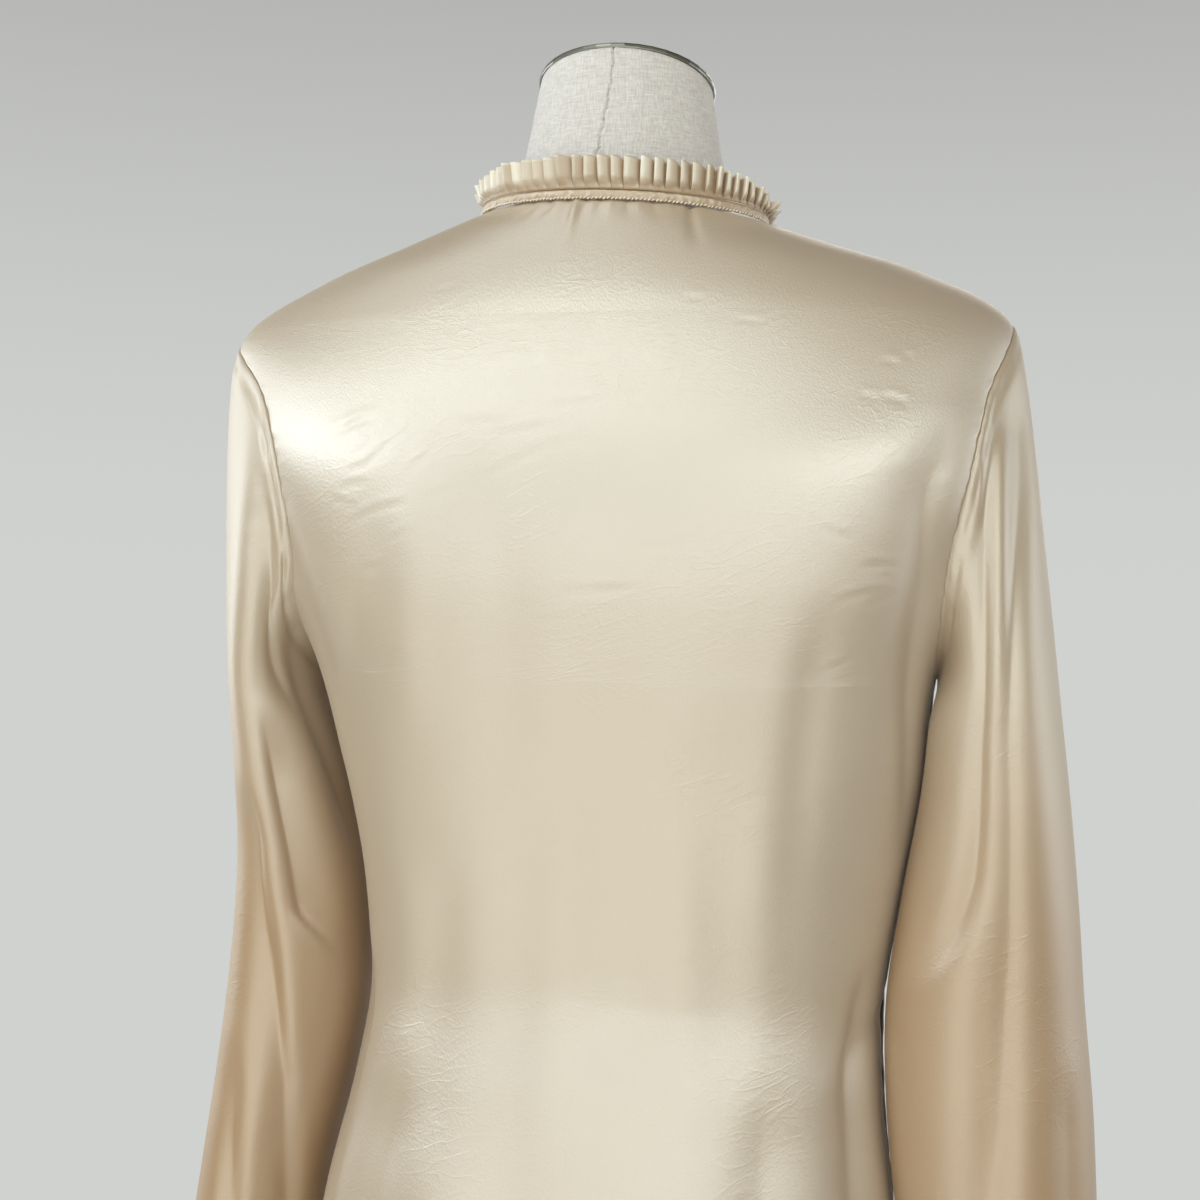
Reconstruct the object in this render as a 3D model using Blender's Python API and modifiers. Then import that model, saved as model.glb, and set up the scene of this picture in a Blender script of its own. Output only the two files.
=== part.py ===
"""A silk blouse on a limbless dress form, as closed solids at real size.

The blouse is cut as a maker would cut it: a one-piece back, two fronts that
overlap at centre front, set-in sleeves, cuffs, a narrow neck band and a
pleated ruffle. Each piece is a thin wall through rings worked out from the
tables below. The form inside is a torso with a neck, a cap, a pole and a base.

Axes: +Z up, the front faces -Y, +X is the wearer's left. The origin is under
the middle of the base, on the floor. Tables are in millimetres and degrees,
with heights measured from the neck seam at centre back.
"""

import math

import bmesh
import bpy
import numpy as np

MM = 0.001
NECK_SEAM_HEIGHT = 1415.0
CLOTH = 1.5
RUFFLE_CLOTH = 1.0
SEAM_GAP = 0.3

# Body of the blouse: one ring of cloth a row, hem to neckline. A ring's height
# may differ at centre back, side and centre front.
BODY_COLUMNS = (
    "z_back", "z_side", "z_front", "half_width", "shift",
    "y_side", "y_back", "y_front", "square", "roll",
)
BODY_RINGS = (
    (-620, -620, -620, 160, -9, 12, 127, -106, 2.3, 0),  # hem
    (-560, -560, -560, 155, -9, 11, 124, -104, 2.3, 0),
    (-505, -505, -505, 149, -10, 10, 118, -103, 2.3, 0),  # hip
    (-450, -450, -450, 141, -12, 8, 104, -103, 2.3, 0),
    (-400, -400, -400, 138, -14, 5, 93, -106, 2.25, 0),  # waist
    (-350, -350, -350, 144, -15, 3, 94, -114, 2.25, 0),
    (-295, -293, -295, 154, -14, 1, 98, -127, 2.3, 0),
    (-245, -240, -245, 162, -10, -2, 103, -138, 2.35, 0),  # underarm
    (-192, -190, -198, 180, -7, -4, 106, -138, 2.4, 0),
    (-143, -141, -160, 197, -5, -6, 103, -126, 2.4, 0),
    (-100, -100, -130, 206, -2, -7, 93, -110, 2.4, 0),
    (-62, -60, -106, 206, 0, -8, 81, -96, 2.35, 0),  # shoulder tip
    (-38, -33, -92, 165, 0, -7, 71, -88, 2.3, 0.01),
    (-17, -13, -80, 119, -1, -5, 60, -81, 2.15, 0.028),
    (0, -4, -70, 76, -2, -3, 50, -75, 2.0, 0.035),  # neckline
)
HEM, UNDERARM, SHOULDER_TIP, NECKLINE = 0, 7, 11, 14
ARMHOLE_CUT_BACK = 24.0
ARMHOLE_CUT_FRONT = 20.0
BUST_SIDE, BUST_HEIGHT = 82.0, -238.0
BUST_SPREAD, BUST_RISE = 46.0, 9.0

# Soft folds of the body: the angle is measured from centre back, positive to
# the wearer's left. Each fold runs from its top height to its end height.
FOLD_COLUMNS = ("turn_top", "turn_mid", "turn_end", "z_top", "z_end", "half_width", "depth")
BODY_FOLDS = (
    (-55, -57, -60, -130, -290, 6.0, 5.0),  # beside the right armhole
    (57, 58, 60, -140, -280, 6.0, 3.5),  # beside the left armhole
    (-69, -66, -60, -375, -660, 8.0, 8.0),  # right hip
    (-31, -32, -34, -420, -660, 9.0, 4.5),
    (7, 6, 5, -440, -660, 9.0, 4.0),
    (37, 39, 41, -420, -660, 9.0, 4.5),
    (72, 69, 64, -380, -660, 8.0, 7.0),  # left hip
    (122, 124, 126, -290, -660, 9.0, 7.0),
    (148, 150, 152, -280, -660, 8.0, 5.0),
    (-120, -123, -126, -290, -660, 9.0, 7.0),
    (-147, -149, -150, -300, -660, 8.0, 5.0),
    (98, 99, 100, -360, -660, 7.0, 4.5),
    (-98, -99, -100, -350, -660, 7.0, 4.5),
)
FOLD_FADE_IN, FOLD_FADE_OUT = 0.25, 0.2  # shares of a fold's length
GATHERS = 9
GATHER_HALF_WIDTH = 30.0
GATHER_DEPTH, GATHER_LENGTH = 1.3, 22.0
GATHER_EASE = 0.4  # share of the depth lost towards the ends of the row
GATHER_ROW = 0.25  # the row of cloth just under the neck seam, in rings

# Fronts: the right one lies over the left one.
LAP = 14.0
LAP_RISE = CLOTH + 0.5
LAP_EASE = 9.0

# Neck band and ruffle, as heights above the neck seam.
BAND_FOOT, BAND_TOP = 0.4, 5.8
RUFFLE_FOOT, RUFFLE_TOP = 6.4, 22.0
NECK_LEAN = 0.12
PLEATS = 68
PLEAT_FACE_SHARE = 0.78
PLEAT_DEPTH_FOOT, PLEAT_DEPTH_TOP = 1.0, 1.7
RUFFLE_END_GAP = 1.2

# Sleeves: sections below the underarm, from the inner to the outer side.
SLEEVE_COLUMNS = ("z", "x_inner", "x_outer", "y_middle", "half_depth", "square")
SLEEVES = {
    "left": (
        (-258, 153, 198, 4, 68, 2.2),
        (-300, 144, 195, 6, 66, 2.2),
        (-350, 135, 194, 7, 63, 2.2),
        (-400, 131, 197, 8, 60, 2.2),
        (-450, 135, 202, 9, 59, 2.2),
        (-500, 144, 208, 10, 58, 2.2),
        (-550, 151, 215, 10, 56, 2.2),
        (-592, 159, 221, 10, 50, 2.1),
        (-622, 167, 223, 10, 37, 2.0),
    ),
    "right": (
        (-258, 175, 236, 4, 62, 2.2),
        (-300, 172, 241, 6, 60, 2.2),
        (-350, 164, 246, 7, 58, 2.2),
        (-400, 159, 250, 8, 57, 2.2),
        (-450, 162, 255, 9, 57, 2.2),
        (-500, 168, 258, 10, 56, 2.2),
        (-550, 177, 261, 10, 55, 2.2),
        (-592, 184, 262, 10, 49, 2.1),
        (-622, 194, 254, 10, 37, 2.0),
    ),
}
# Sleeve folds: 0 degrees is the outer side, 90 the back, 180 the inner side.
SLEEVE_FOLDS = {
    "left": (
        (97, 93, 98, -120, -250, 13, 5.0),
        (68, 78, 94, -250, -400, 13, 6.0),
        (34, 72, 118, -300, -600, 12, 8.0),  # the upper cloth hangs over here
        (140, 136, 132, -300, -440, 10, 4.0),
        (250, 262, 272, -150, -560, 14, 6.0),
        (305, 300, 296, -140, -470, 12, 5.0),
        (330, 332, 340, -420, -600, 12, 4.0),
    ),
    "right": (
        (99, 95, 101, -80, -385, 11, 6.0),
        (46, 60, 86, -85, -600, 11, 7.0),
        (140, 138, 132, -300, -560, 12, 4.5),
        (256, 264, 270, -120, -560, 14, 6.0),
        (306, 300, 292, -130, -500, 12, 5.0),
    ),
}
# The cap leaves the armhole outwards at the tip, and down at its back and front.
CAP_START_LENGTH, CAP_SIDE_LENGTH, CAP_UNDERARM_LESS = 24.0, 45.0, 20.0
CAP_OUT, CAP_OUT_MORE, CAP_BACKWARDS = 0.55, 0.35, 0.15
CAP_DOWN_SIDE, CAP_DOWN_TIP, CAP_END_PULL = 0.8, 0.45, 0.9
CAP_CLEARANCE, UNDERARM_CLEARANCE = 0.2, 0.9
CAP_FOLD_FADE = 0.45  # share of the cap over which folds fade out towards the seam
CUFF_HEIGHT = 45.0
CUFF_START_TURN, CUFF_LAP_TURN = 120.0, 24.0
CUFF_HALF_WIDTH, CUFF_HALF_DEPTH = 28.0, 36.0

# Dress form: rings from the underside to the top of the neck.
FORM_COLUMNS = (
    "z_back", "z_side", "z_front", "half_width", "tilt",
    "y_side", "y_back", "y_front", "square", "roll",
)
FORM_RINGS = (
    (-645, -645, -645, 124, 0, 8, 98, -84, 2.2, 0),  # underside
    (-590, -590, -590, 129, 0, 10, 106, -88, 2.2, 0),
    (-520, -520, -520, 125, 0, 9, 102, -87, 2.2, 0),  # hip
    (-455, -455, -455, 115, 0, 6, 87, -85, 2.2, 0),
    (-400, -400, -400, 109, 0, 4, 76, -86, 2.2, 0),  # waist
    (-340, -340, -340, 116, 0, 1, 80, -98, 2.2, 0),
    (-280, -280, -280, 129, 0, -1, 88, -114, 2.25, 0),
    (-230, -228, -232, 143, 0, -3, 96, -126, 2.3, 0),  # bust
    (-180, -178, -190, 160, 0, -5, 99, -124, 2.35, 0),
    (-135, -134, -156, 180, 0, -7, 95, -112, 2.35, 0),
    (-98, -98, -130, 193, 0, -8, 85, -99, 2.35, 0),
    (-66, -58.5, -108, 193, 0, -8, 74, -87, 2.3, 0),  # shoulder
    (-43, -31.9, -94, 158, 0, -7, 65, -79, 2.25, 0.011),
    (-23, -13.9, -82, 113, 0, -5, 54, -72, 2.1, 0.027),
    (-8, -7.3, -64, 74, 0, -4, 46, -64, 2.0, 0.03),
    (8, 6, -34, 59, 0.04, -6, 42.5, -60, 2.0, 0.01),
    (34, 34, 12, 53, 0.12, -8, 39.5, -57.5, 2.0, 0),
    (70.5, 70.5, 70.5, 46.5, 0.25, -11, 35.5, -57.5, 2.0, 0),  # top of the neck
)
CAP_THICKNESS, CAP_OVERHANG, CAP_ROUNDING = 3.2, 1.2, 1.0
POLE_RADIUS = 16.0
# Profiles (radius, height) from the top to the underside; the flange's is below its top.
FLANGE_PROFILE = ((0.0, 0.0), (55.0, 0.0), (55.0, -4.0), (24.0, -9.0), (0.0, -9.0))
BASE_PROFILE = (
    (0.0, 42.0), (27.0, 42.0), (30.0, 39.0), (34.0, 24.0), (50.0, 18.0),
    (194.0, 14.0), (200.0, 8.0), (200.0, 0.0), (0.0, 0.0),
)

# Buttons: heights of the seven front ones, from the neck seam.
BUTTON_TOP, BUTTON_STEP, BUTTONS = -92.0, -78.0, 7
BUTTON_RADIUS, BUTTON_FACE_RADIUS, BUTTON_THICKNESS = 5.2, 4.9, 2.2

# Grids, and the steps at which slopes are measured.
SMALL_LEVEL, SMALL_TURN = 0.02, 0.4
BACK_SIDE_COLUMNS = 9
FRONT_COLUMNS, LAP_COLUMNS = 10, 5
SKIRT_ROWS, YOKE_ROWS = 8, 4
SLEEVE_ROUND = 24
CAP_STEPS = (0.0, 0.02, 0.13, 0.27, 0.42, 0.58, 0.74, 0.88, 1.0)
SLEEVE_ROWS, CUFF_COLUMNS = 12, 28
FORM_ROUND, FORM_ROWS = 28, 26


def as_table(columns, rows):
    """Column name -> place in the row, and the rows as one array."""
    return {name: i for i, name in enumerate(columns)}, np.array(rows, float)


def read_smoothly(rows, level):
    """Every column as a Catmull-Rom curve through its rows, at these levels."""
    level = np.asarray(level, float)
    ends = np.vstack((2 * rows[0] - rows[1], rows, 2 * rows[-1] - rows[-2]))
    row = np.clip(np.floor(level).astype(int), 0, len(rows) - 2)
    t = (level - row)[..., None]
    a, b, c, d = (ends[row + k] for k in range(4))
    return 0.5 * (
        2 * b + (c - a) * t + (2 * a - 5 * b + 4 * c - d) * t**2
        + (3 * b - a - 3 * c + d) * t**3
    )


def ring_point(table, level, turn):
    """A point on a ring: a superellipse, its back and front halves apart."""
    names, rows = table
    level, turn = np.broadcast_arrays(np.asarray(level, float), np.radians(turn))
    value = read_smoothly(rows, level)

    def get(name):
        return value[..., names[name]] if name in names else 0.0

    power = 2.0 / get("square")
    sine, cosine = np.sin(turn), np.cos(turn)
    x = get("shift") + get("half_width") * np.sign(sine) * np.abs(sine) ** power
    reach = np.where(cosine > 0, get("y_back"), get("y_front")) - get("y_side")
    y = get("y_side") + reach * np.abs(cosine) ** power
    rise = np.where(cosine > 0, get("z_back"), get("z_front")) - get("z_side")
    z = get("z_side") + rise * cosine**2 + get("tilt") * (y - get("y_side")) + get("roll") * x
    return np.stack((x, y, z), axis=-1)


def unit(vectors):
    return vectors / np.linalg.norm(vectors, axis=-1, keepdims=True)


def soft_step(value):
    value = np.clip(value, 0.0, 1.0)
    return value * value * (3 - 2 * value)


def fold_relief(folds, turn, z):
    """How far folds push the cloth in: a soft trough along each fold's path."""
    relief = np.zeros(np.broadcast(turn, z).shape)
    for top, middle, end, z_top, z_end, half_width, depth in folds:
        along = np.clip((z - z_top) / (z_end - z_top), 0.0, 1.0)
        path = top * (1 - along) ** 2 + 2 * middle * along * (1 - along) + end * along**2
        away = (turn - path + 180.0) % 360.0 - 180.0
        fade = soft_step(along / FOLD_FADE_IN) * soft_step((1 - along) / FOLD_FADE_OUT)
        relief = relief - depth * fade * np.exp(-((away / half_width) ** 2))
    return relief


BODY = as_table(BODY_COLUMNS, BODY_RINGS)
FORM = as_table(FORM_COLUMNS, FORM_RINGS)


def body_point(level, turn, lift=0.0):
    """The outer face of the blouse's body, with its folds, moved out by lift."""
    level, turn = np.broadcast_arrays(np.asarray(level, float), np.asarray(turn, float))
    point = ring_point(BODY, level, turn)
    up = ring_point(BODY, level + SMALL_LEVEL, turn) - ring_point(BODY, level - SMALL_LEVEL, turn)
    round_ = ring_point(BODY, level, turn + SMALL_TURN) - ring_point(BODY, level, turn - SMALL_TURN)
    normal = unit(np.cross(up, round_))
    relief = fold_relief(BODY_FOLDS, turn, point[..., 2])
    bust = np.exp(
        -(((np.abs(point[..., 0]) - BUST_SIDE) / BUST_SPREAD) ** 2)
        - ((point[..., 2] - BUST_HEIGHT) / BUST_SPREAD) ** 2
    )
    relief = relief + BUST_RISE * bust * (np.abs(turn) > 90)
    return point + normal * (relief + lift)[..., None]


def gather_lift(level, turn):
    """Small troughs that run down from the neck seam at centre back."""
    point = ring_point(BODY, level, turn)
    across = np.clip(point[..., 0] / GATHER_HALF_WIDTH, -1.0, 1.0)
    below = (point[..., 2] - point[..., 2].max()) / GATHER_LENGTH
    wave = 0.5 - 0.5 * np.cos(np.pi * GATHERS * (turn / gather_turn() + 1.0))
    inside = np.abs(turn) < gather_turn() - SMALL_TURN / 10
    return -GATHER_DEPTH * wave * inside * np.exp(below) * (1 - GATHER_EASE * across**2)


def gather_turn():
    """The angle that the gathers reach on the neckline, each side."""
    names, rows = BODY
    half_width = rows[NECKLINE, names["half_width"]]
    return math.degrees(math.asin(GATHER_HALF_WIDTH / half_width))


def seam_turn(level, distance, front=False):
    """The angle short of the side at which a ring is this far from the side seam."""
    names, rows = BODY
    value = read_smoothly(rows, level)
    reach = "y_front" if front else "y_back"
    depth = np.abs(value[..., names[reach]] - value[..., names["y_side"]])
    return np.degrees(np.arcsin((distance / depth) ** (value[..., names["square"]] / 2)))


def armhole_turn(level, cut):
    """How far short of the side a panel ends in the armhole: an oval's outline."""
    q = np.clip((SHOULDER_TIP - level) / (SHOULDER_TIP - UNDERARM), 0.0, 1.0)
    return cut * 2 * np.sqrt(q * (1 - q))


def centre_front_turn(level, distance):
    """The angle past the side at which a ring is this far from centre front."""
    names, rows = BODY
    value = read_smoothly(rows, level)
    share = (distance / value[..., names["half_width"]]) ** (value[..., names["square"]] / 2)
    return 180.0 - np.degrees(np.arcsin(share))


def lap_lift(level, turn):
    """How far the right front rises over the left one near centre front."""
    names, rows = BODY
    middle = read_smoothly(rows, level)[..., names["shift"]]
    from_centre = ring_point(BODY, level, turn)[..., 0] - middle
    rise = LAP_RISE * soft_step((from_centre + LAP + LAP_EASE) / LAP_EASE)
    return rise * (turn < -90)


def armhole_level(turn):
    """The ring met at an angle round the armhole: 0 at the shoulder tip, 180 at the underarm."""
    return SHOULDER_TIP + (UNDERARM - SHOULDER_TIP) * (1 - np.cos(np.radians(turn))) / 2


def panel_levels():
    """Rows of a panel, with the sleeve's own points in the armhole."""
    skirt = np.linspace(HEM, UNDERARM, SKIRT_ROWS + 1)
    armhole = armhole_level(np.linspace(180.0, 0.0, SLEEVE_ROUND // 2 + 1))
    yoke = SHOULDER_TIP + (NECKLINE - SHOULDER_TIP) * np.linspace(0, 1, YOKE_ROWS + 1)
    return np.concatenate((skirt, armhole[1:], yoke[1:-1], [NECKLINE - GATHER_ROW, NECKLINE]))


def material(name, hex_colour, roughness, metallic=0.0):
    """A plain finish: the colour is given as it looks on screen."""
    made = bpy.data.materials.get(name)
    if made:
        return made
    made = bpy.data.materials.new(name)
    made.use_nodes = True
    shader = made.node_tree.nodes["Principled BSDF"]
    parts = [int(hex_colour[i:i + 2], 16) / 255 for i in (0, 2, 4)]
    linear = [((c + 0.055) / 1.055) ** 2.4 if c > 0.04 else c / 12.92 for c in parts]
    shader.inputs["Base Color"].default_value = (*linear, 1.0)
    shader.inputs["Roughness"].default_value = roughness
    shader.inputs["Metallic"].default_value = metallic
    return made


def add_object(name, mesh, finish, collection):
    made = bpy.data.objects.new(name, mesh)
    mesh.materials.append(finish)
    collection.objects.link(made)
    return made


def grid_faces(rows, columns, closed):
    """Quads of a grid; a closed one joins its last column to its first."""
    row = np.arange(rows - 1)[:, None]
    column = np.arange(columns if closed else columns - 1)[None, :]
    after = (column + 1) % columns
    corners = (
        row * columns + column,
        row * columns + after,
        (row + 1) * columns + after,
        (row + 1) * columns + column,
    )
    return np.stack(corners, axis=-1).reshape(-1, 4)


def to_metres(points):
    return (points + (0.0, 0.0, NECK_SEAM_HEIGHT)) * MM


def cloth(name, grid, finish, collection, closed=False, wall=CLOTH):
    """A wall of cloth: the grid is its outer face, and Solidify adds the rest inside."""
    rows, columns = grid.shape[:2]
    faces = grid_faces(rows, columns, closed)
    mesh = bpy.data.meshes.new(name)
    mesh.from_pydata(to_metres(grid.reshape(-1, 3)).tolist(), [], faces.tolist())
    mesh.shade_smooth()
    made = add_object(name, mesh, finish, collection)
    thick = made.modifiers.new("wall", "SOLIDIFY")
    thick.thickness = wall * MM
    thick.offset = -1.0
    return made


def back_turns(levels):
    """The back's columns, from the wearer's left to the right, closer at the gathers."""
    share = gather_turn() / 90.0
    middle = np.linspace(-share, share, 2 * GATHERS + 1)
    side = np.linspace(share, 1.0, BACK_SIDE_COLUMNS + 1)[1:]
    across = np.concatenate((side[::-1], middle[::-1], -side))
    edge = 90.0 - armhole_turn(levels, ARMHOLE_CUT_BACK) - seam_turn(levels, SEAM_GAP)
    return edge[:, None] * across


def front_turns(levels):
    """A front's columns, from its side seam to its edge past centre front."""
    start = 90.0 + armhole_turn(levels, ARMHOLE_CUT_FRONT) + seam_turn(levels, SEAM_GAP, True)
    fold = centre_front_turn(levels, LAP + LAP_EASE)
    lap = 180.0 - centre_front_turn(levels, LAP)
    inner = np.linspace(0.0, 1.0, FRONT_COLUMNS)
    body = start[:, None] + (fold - start)[:, None] * inner
    return np.hstack((body, 180.0 + lap[:, None] * np.linspace(-1.0, 1.0, LAP_COLUMNS)))


def build_back(finish, collection):
    levels = panel_levels()
    turn = back_turns(levels)
    level = np.broadcast_to(levels[:, None], turn.shape)
    cloth("back", body_point(level, turn, gather_lift(level, turn)), finish, collection)


def build_front(side, finish, collection):
    levels = panel_levels()
    turn = front_turns(levels)
    turn = turn[:, ::-1] if side == "left" else -turn
    level = np.broadcast_to(levels[:, None], turn.shape)
    cloth("front_" + side, body_point(level, turn, lap_lift(level, turn)), finish, collection)


def armhole_ring(side, turn):
    """The sleeve's seam: the outline of the armhole in the body's outer face."""
    sign = 1 if side == "left" else -1
    round_ = np.radians(turn)
    level = armhole_level(turn)
    back = 90.0 - ARMHOLE_CUT_BACK * np.sin(round_)
    front = 90.0 + ARMHOLE_CUT_FRONT * np.abs(np.sin(round_))
    return body_point(level, sign * np.where(np.sin(round_) > 0, back, front))


def sleeve_section(side, level, turn):
    """A level section of the sleeve below the underarm."""
    names, rows = as_table(SLEEVE_COLUMNS, SLEEVES[side])
    sign = 1 if side == "left" else -1
    value = read_smoothly(rows, level)
    inner, outer = value[..., names["x_inner"]], value[..., names["x_outer"]]
    power = 2.0 / value[..., names["square"]]
    sine, cosine = np.sin(np.radians(turn)), np.cos(np.radians(turn))
    x = (inner + outer) / 2 + (outer - inner) / 2 * np.sign(cosine) * np.abs(cosine) ** power
    y = value[..., names["y_middle"]]
    y = y + value[..., names["half_depth"]] * np.sign(sine) * np.abs(sine) ** power
    return np.stack((sign * x, y, value[..., names["z"]]), axis=-1)


def sleeve_cap(side, share, turn):
    """From the armhole to the first level section, along Hermite curves."""
    sign = 1 if side == "left" else -1
    start, end = armhole_ring(side, turn), sleeve_section(side, np.zeros_like(turn), turn)
    sine, cosine = np.sin(np.radians(turn)), np.cos(np.radians(turn))
    clear = SEAM_GAP + CAP_CLEARANCE + (UNDERARM_CLEARANCE - CAP_CLEARANCE) * (1 - cosine) / 2
    start = start + np.stack((sign * clear, 0 * sine, 0 * sine), -1)
    sideways = sign * (CAP_OUT + CAP_OUT_MORE * cosine**2)
    downwards = -CAP_DOWN_SIDE * sine**2 - CAP_DOWN_TIP * cosine**2
    leave = unit(np.stack((sideways, CAP_BACKWARDS * sine, downwards), -1))
    reach = np.linalg.norm(end - start, axis=-1, keepdims=True)
    leave_length = CAP_START_LENGTH + CAP_SIDE_LENGTH * sine**2 - CAP_UNDERARM_LESS * (1 - cosine) / 2
    down = np.array((0.0, 0.0, -1.0))
    t = share[..., None]
    return (
        (2 * t**3 - 3 * t**2 + 1) * start
        + (t**3 - 2 * t**2 + t) * leave * leave_length[..., None]
        + (3 * t**2 - 2 * t**3) * end
        + (t**3 - t**2) * down * reach * CAP_END_PULL
    )


def closed_normals(grid):
    """Outward normals of a tube whose columns go round and rows go down."""
    round_ = np.roll(grid, -1, axis=1) - np.roll(grid, 1, axis=1)
    along = np.gradient(grid, axis=0)
    return unit(np.cross(along, round_))


def build_sleeve(side, finish, collection):
    sign = 1 if side == "left" else -1
    turn = np.arange(SLEEVE_ROUND) * 360.0 / SLEEVE_ROUND
    share, turns = np.meshgrid(np.array(CAP_STEPS), turn, indexing="ij")
    cap = sleeve_cap(side, share, turns)
    levels = np.linspace(0, len(SLEEVES[side]) - 1, SLEEVE_ROWS + 1)[1:]
    level, below_turns = np.meshgrid(levels, turn, indexing="ij")
    below = sleeve_section(side, level, below_turns)
    grid = np.concatenate((cap, below))
    all_turns = np.concatenate((turns, below_turns))
    relief = fold_relief(SLEEVE_FOLDS[side], all_turns, grid[..., 2])
    relief[: len(CAP_STEPS)] *= soft_step(share / CAP_FOLD_FADE)
    normals = closed_normals(grid) * sign
    grid = grid + normals * relief[..., None]
    if side == "left":
        grid = grid[:, ::-1]
    cloth("sleeve_" + side, grid, finish, collection, closed=True)


def build_cuff(side, finish, button_finish, collection):
    """A band whose ends overlap on the outer back side, with its button."""
    sign = 1 if side == "left" else -1
    names, rows = as_table(SLEEVE_COLUMNS, SLEEVES[side])
    last = rows[-1]
    middle = (last[names["x_inner"]] + last[names["x_outer"]]) / 2
    top = last[names["z"]] - SEAM_GAP
    start = CUFF_START_TURN
    turn = np.linspace(start, start + 360.0 + CUFF_LAP_TURN, CUFF_COLUMNS)
    lift = LAP_RISE * soft_step((turn - start - 360.0 + CUFF_LAP_TURN) / CUFF_LAP_TURN)
    z = np.array((0.0, 0.5, 1.0)) * -CUFF_HEIGHT + top
    turns, heights = np.broadcast_arrays(np.radians(turn)[None, :], z[:, None])
    x = middle + (CUFF_HALF_WIDTH + lift) * np.cos(turns)
    y = last[names["y_middle"]] + (CUFF_HALF_DEPTH + lift) * np.sin(turns)
    grid = np.stack((sign * x, y, heights), axis=-1)
    if side == "left":
        grid = grid[:, ::-1]
    cloth("cuff_" + side, grid, finish, collection)
    at = math.radians(start + CUFF_LAP_TURN / 2)
    face = LAP_RISE + SEAM_GAP
    spot = np.array((
        sign * (middle + (CUFF_HALF_WIDTH + face) * math.cos(at)),
        last[names["y_middle"]] + (CUFF_HALF_DEPTH + face) * math.sin(at),
        top - CUFF_HEIGHT / 2,
    ))
    outward = unit(np.array((
        sign * math.cos(at) / CUFF_HALF_WIDTH, math.sin(at) / CUFF_HALF_DEPTH, 0.0
    )))
    add_button("cuff_button_" + side, spot, outward, button_finish, collection)


def neckline_strip(turn, height, out=0.0):
    """A strip that stands on the neckline, leaning out a little as it rises."""
    turn, height = np.broadcast_arrays(turn, height)
    level = np.full(turn.shape, float(NECKLINE))
    foot = body_point(level, turn, lap_lift(level, turn))
    sine, cosine = np.sin(np.radians(turn)), np.cos(np.radians(turn))
    outward = np.stack((sine, cosine, np.zeros_like(sine)), axis=-1)
    away = NECK_LEAN * height + out
    return foot + outward * away[..., None] + np.stack((0 * height, 0 * height, height), -1)


def build_neck(finish, collection):
    """The band runs from the left front's edge, under the lap, round to the right's edge."""
    neckline = np.array([float(NECKLINE)])
    front = front_turns(neckline)[0]
    turn = np.concatenate((front[::-1], back_turns(neckline)[0], -front))
    heights = np.array((BAND_FOOT, BAND_TOP))[:, None]
    cloth("neck_band", neckline_strip(turn, heights), finish, collection)

    start = -float(360.0 - centre_front_turn(neckline, LAP)[0])
    end = float(centre_front_turn(neckline, LAP + RUFFLE_END_GAP + RUFFLE_CLOTH)[0])
    pitch = (end - start) / PLEATS
    fold = start + pitch * np.arange(PLEATS)
    turn = np.sort(np.concatenate((fold, fold + PLEAT_FACE_SHARE * pitch)))[::-1]
    proud = np.tile((1.0, -1.0), PLEATS)
    heights = np.array((RUFFLE_FOOT, (RUFFLE_FOOT + RUFFLE_TOP) / 2, RUFFLE_TOP))[:, None]
    depth = np.array((PLEAT_DEPTH_FOOT, PLEAT_DEPTH_TOP, PLEAT_DEPTH_TOP))[:, None]
    ruffle = neckline_strip(turn, heights, proud * depth)
    cloth("neck_ruffle", ruffle, finish, collection, wall=RUFFLE_CLOTH)


def add_button(name, spot, outward, finish, collection):
    """A round button, its underside on the spot and its axis along outward."""
    shape = bmesh.new()
    bmesh.ops.create_cone(
        shape, cap_ends=True, segments=16, radius1=BUTTON_RADIUS * MM,
        radius2=BUTTON_FACE_RADIUS * MM, depth=BUTTON_THICKNESS * MM,
    )
    mesh = bpy.data.meshes.new(name)
    shape.to_mesh(mesh)
    shape.free()
    made = add_object(name, mesh, finish, collection)
    middle = spot + outward * BUTTON_THICKNESS / 2
    made.location = to_metres(middle)
    yaw = math.atan2(outward[1], outward[0])
    made.rotation_euler = (0.0, math.acos(float(outward[2])), yaw)
    return made


def build_front_buttons(finish, collection):
    """Seven buttons on the right front, at centre front."""
    levels = np.linspace(HEM, NECKLINE, 400)
    line = body_point(levels, np.full(levels.shape, 180.0), LAP_RISE)
    for number in range(BUTTONS):
        height = BUTTON_TOP + BUTTON_STEP * number
        level = float(np.interp(height, line[:, 2], levels))
        spot = body_point(np.array(level), np.array(180.0), LAP_RISE)
        above = body_point(np.array(level + SMALL_LEVEL), np.array(180.0), LAP_RISE)
        across = np.array((-1.0, 0.0, 0.0))
        outward = unit(np.cross(above - spot, across))
        outward = outward * -np.sign(outward[1])
        add_button(
            "button_" + str(number + 1), spot + outward * SEAM_GAP * 2, outward, finish, collection
        )


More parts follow.
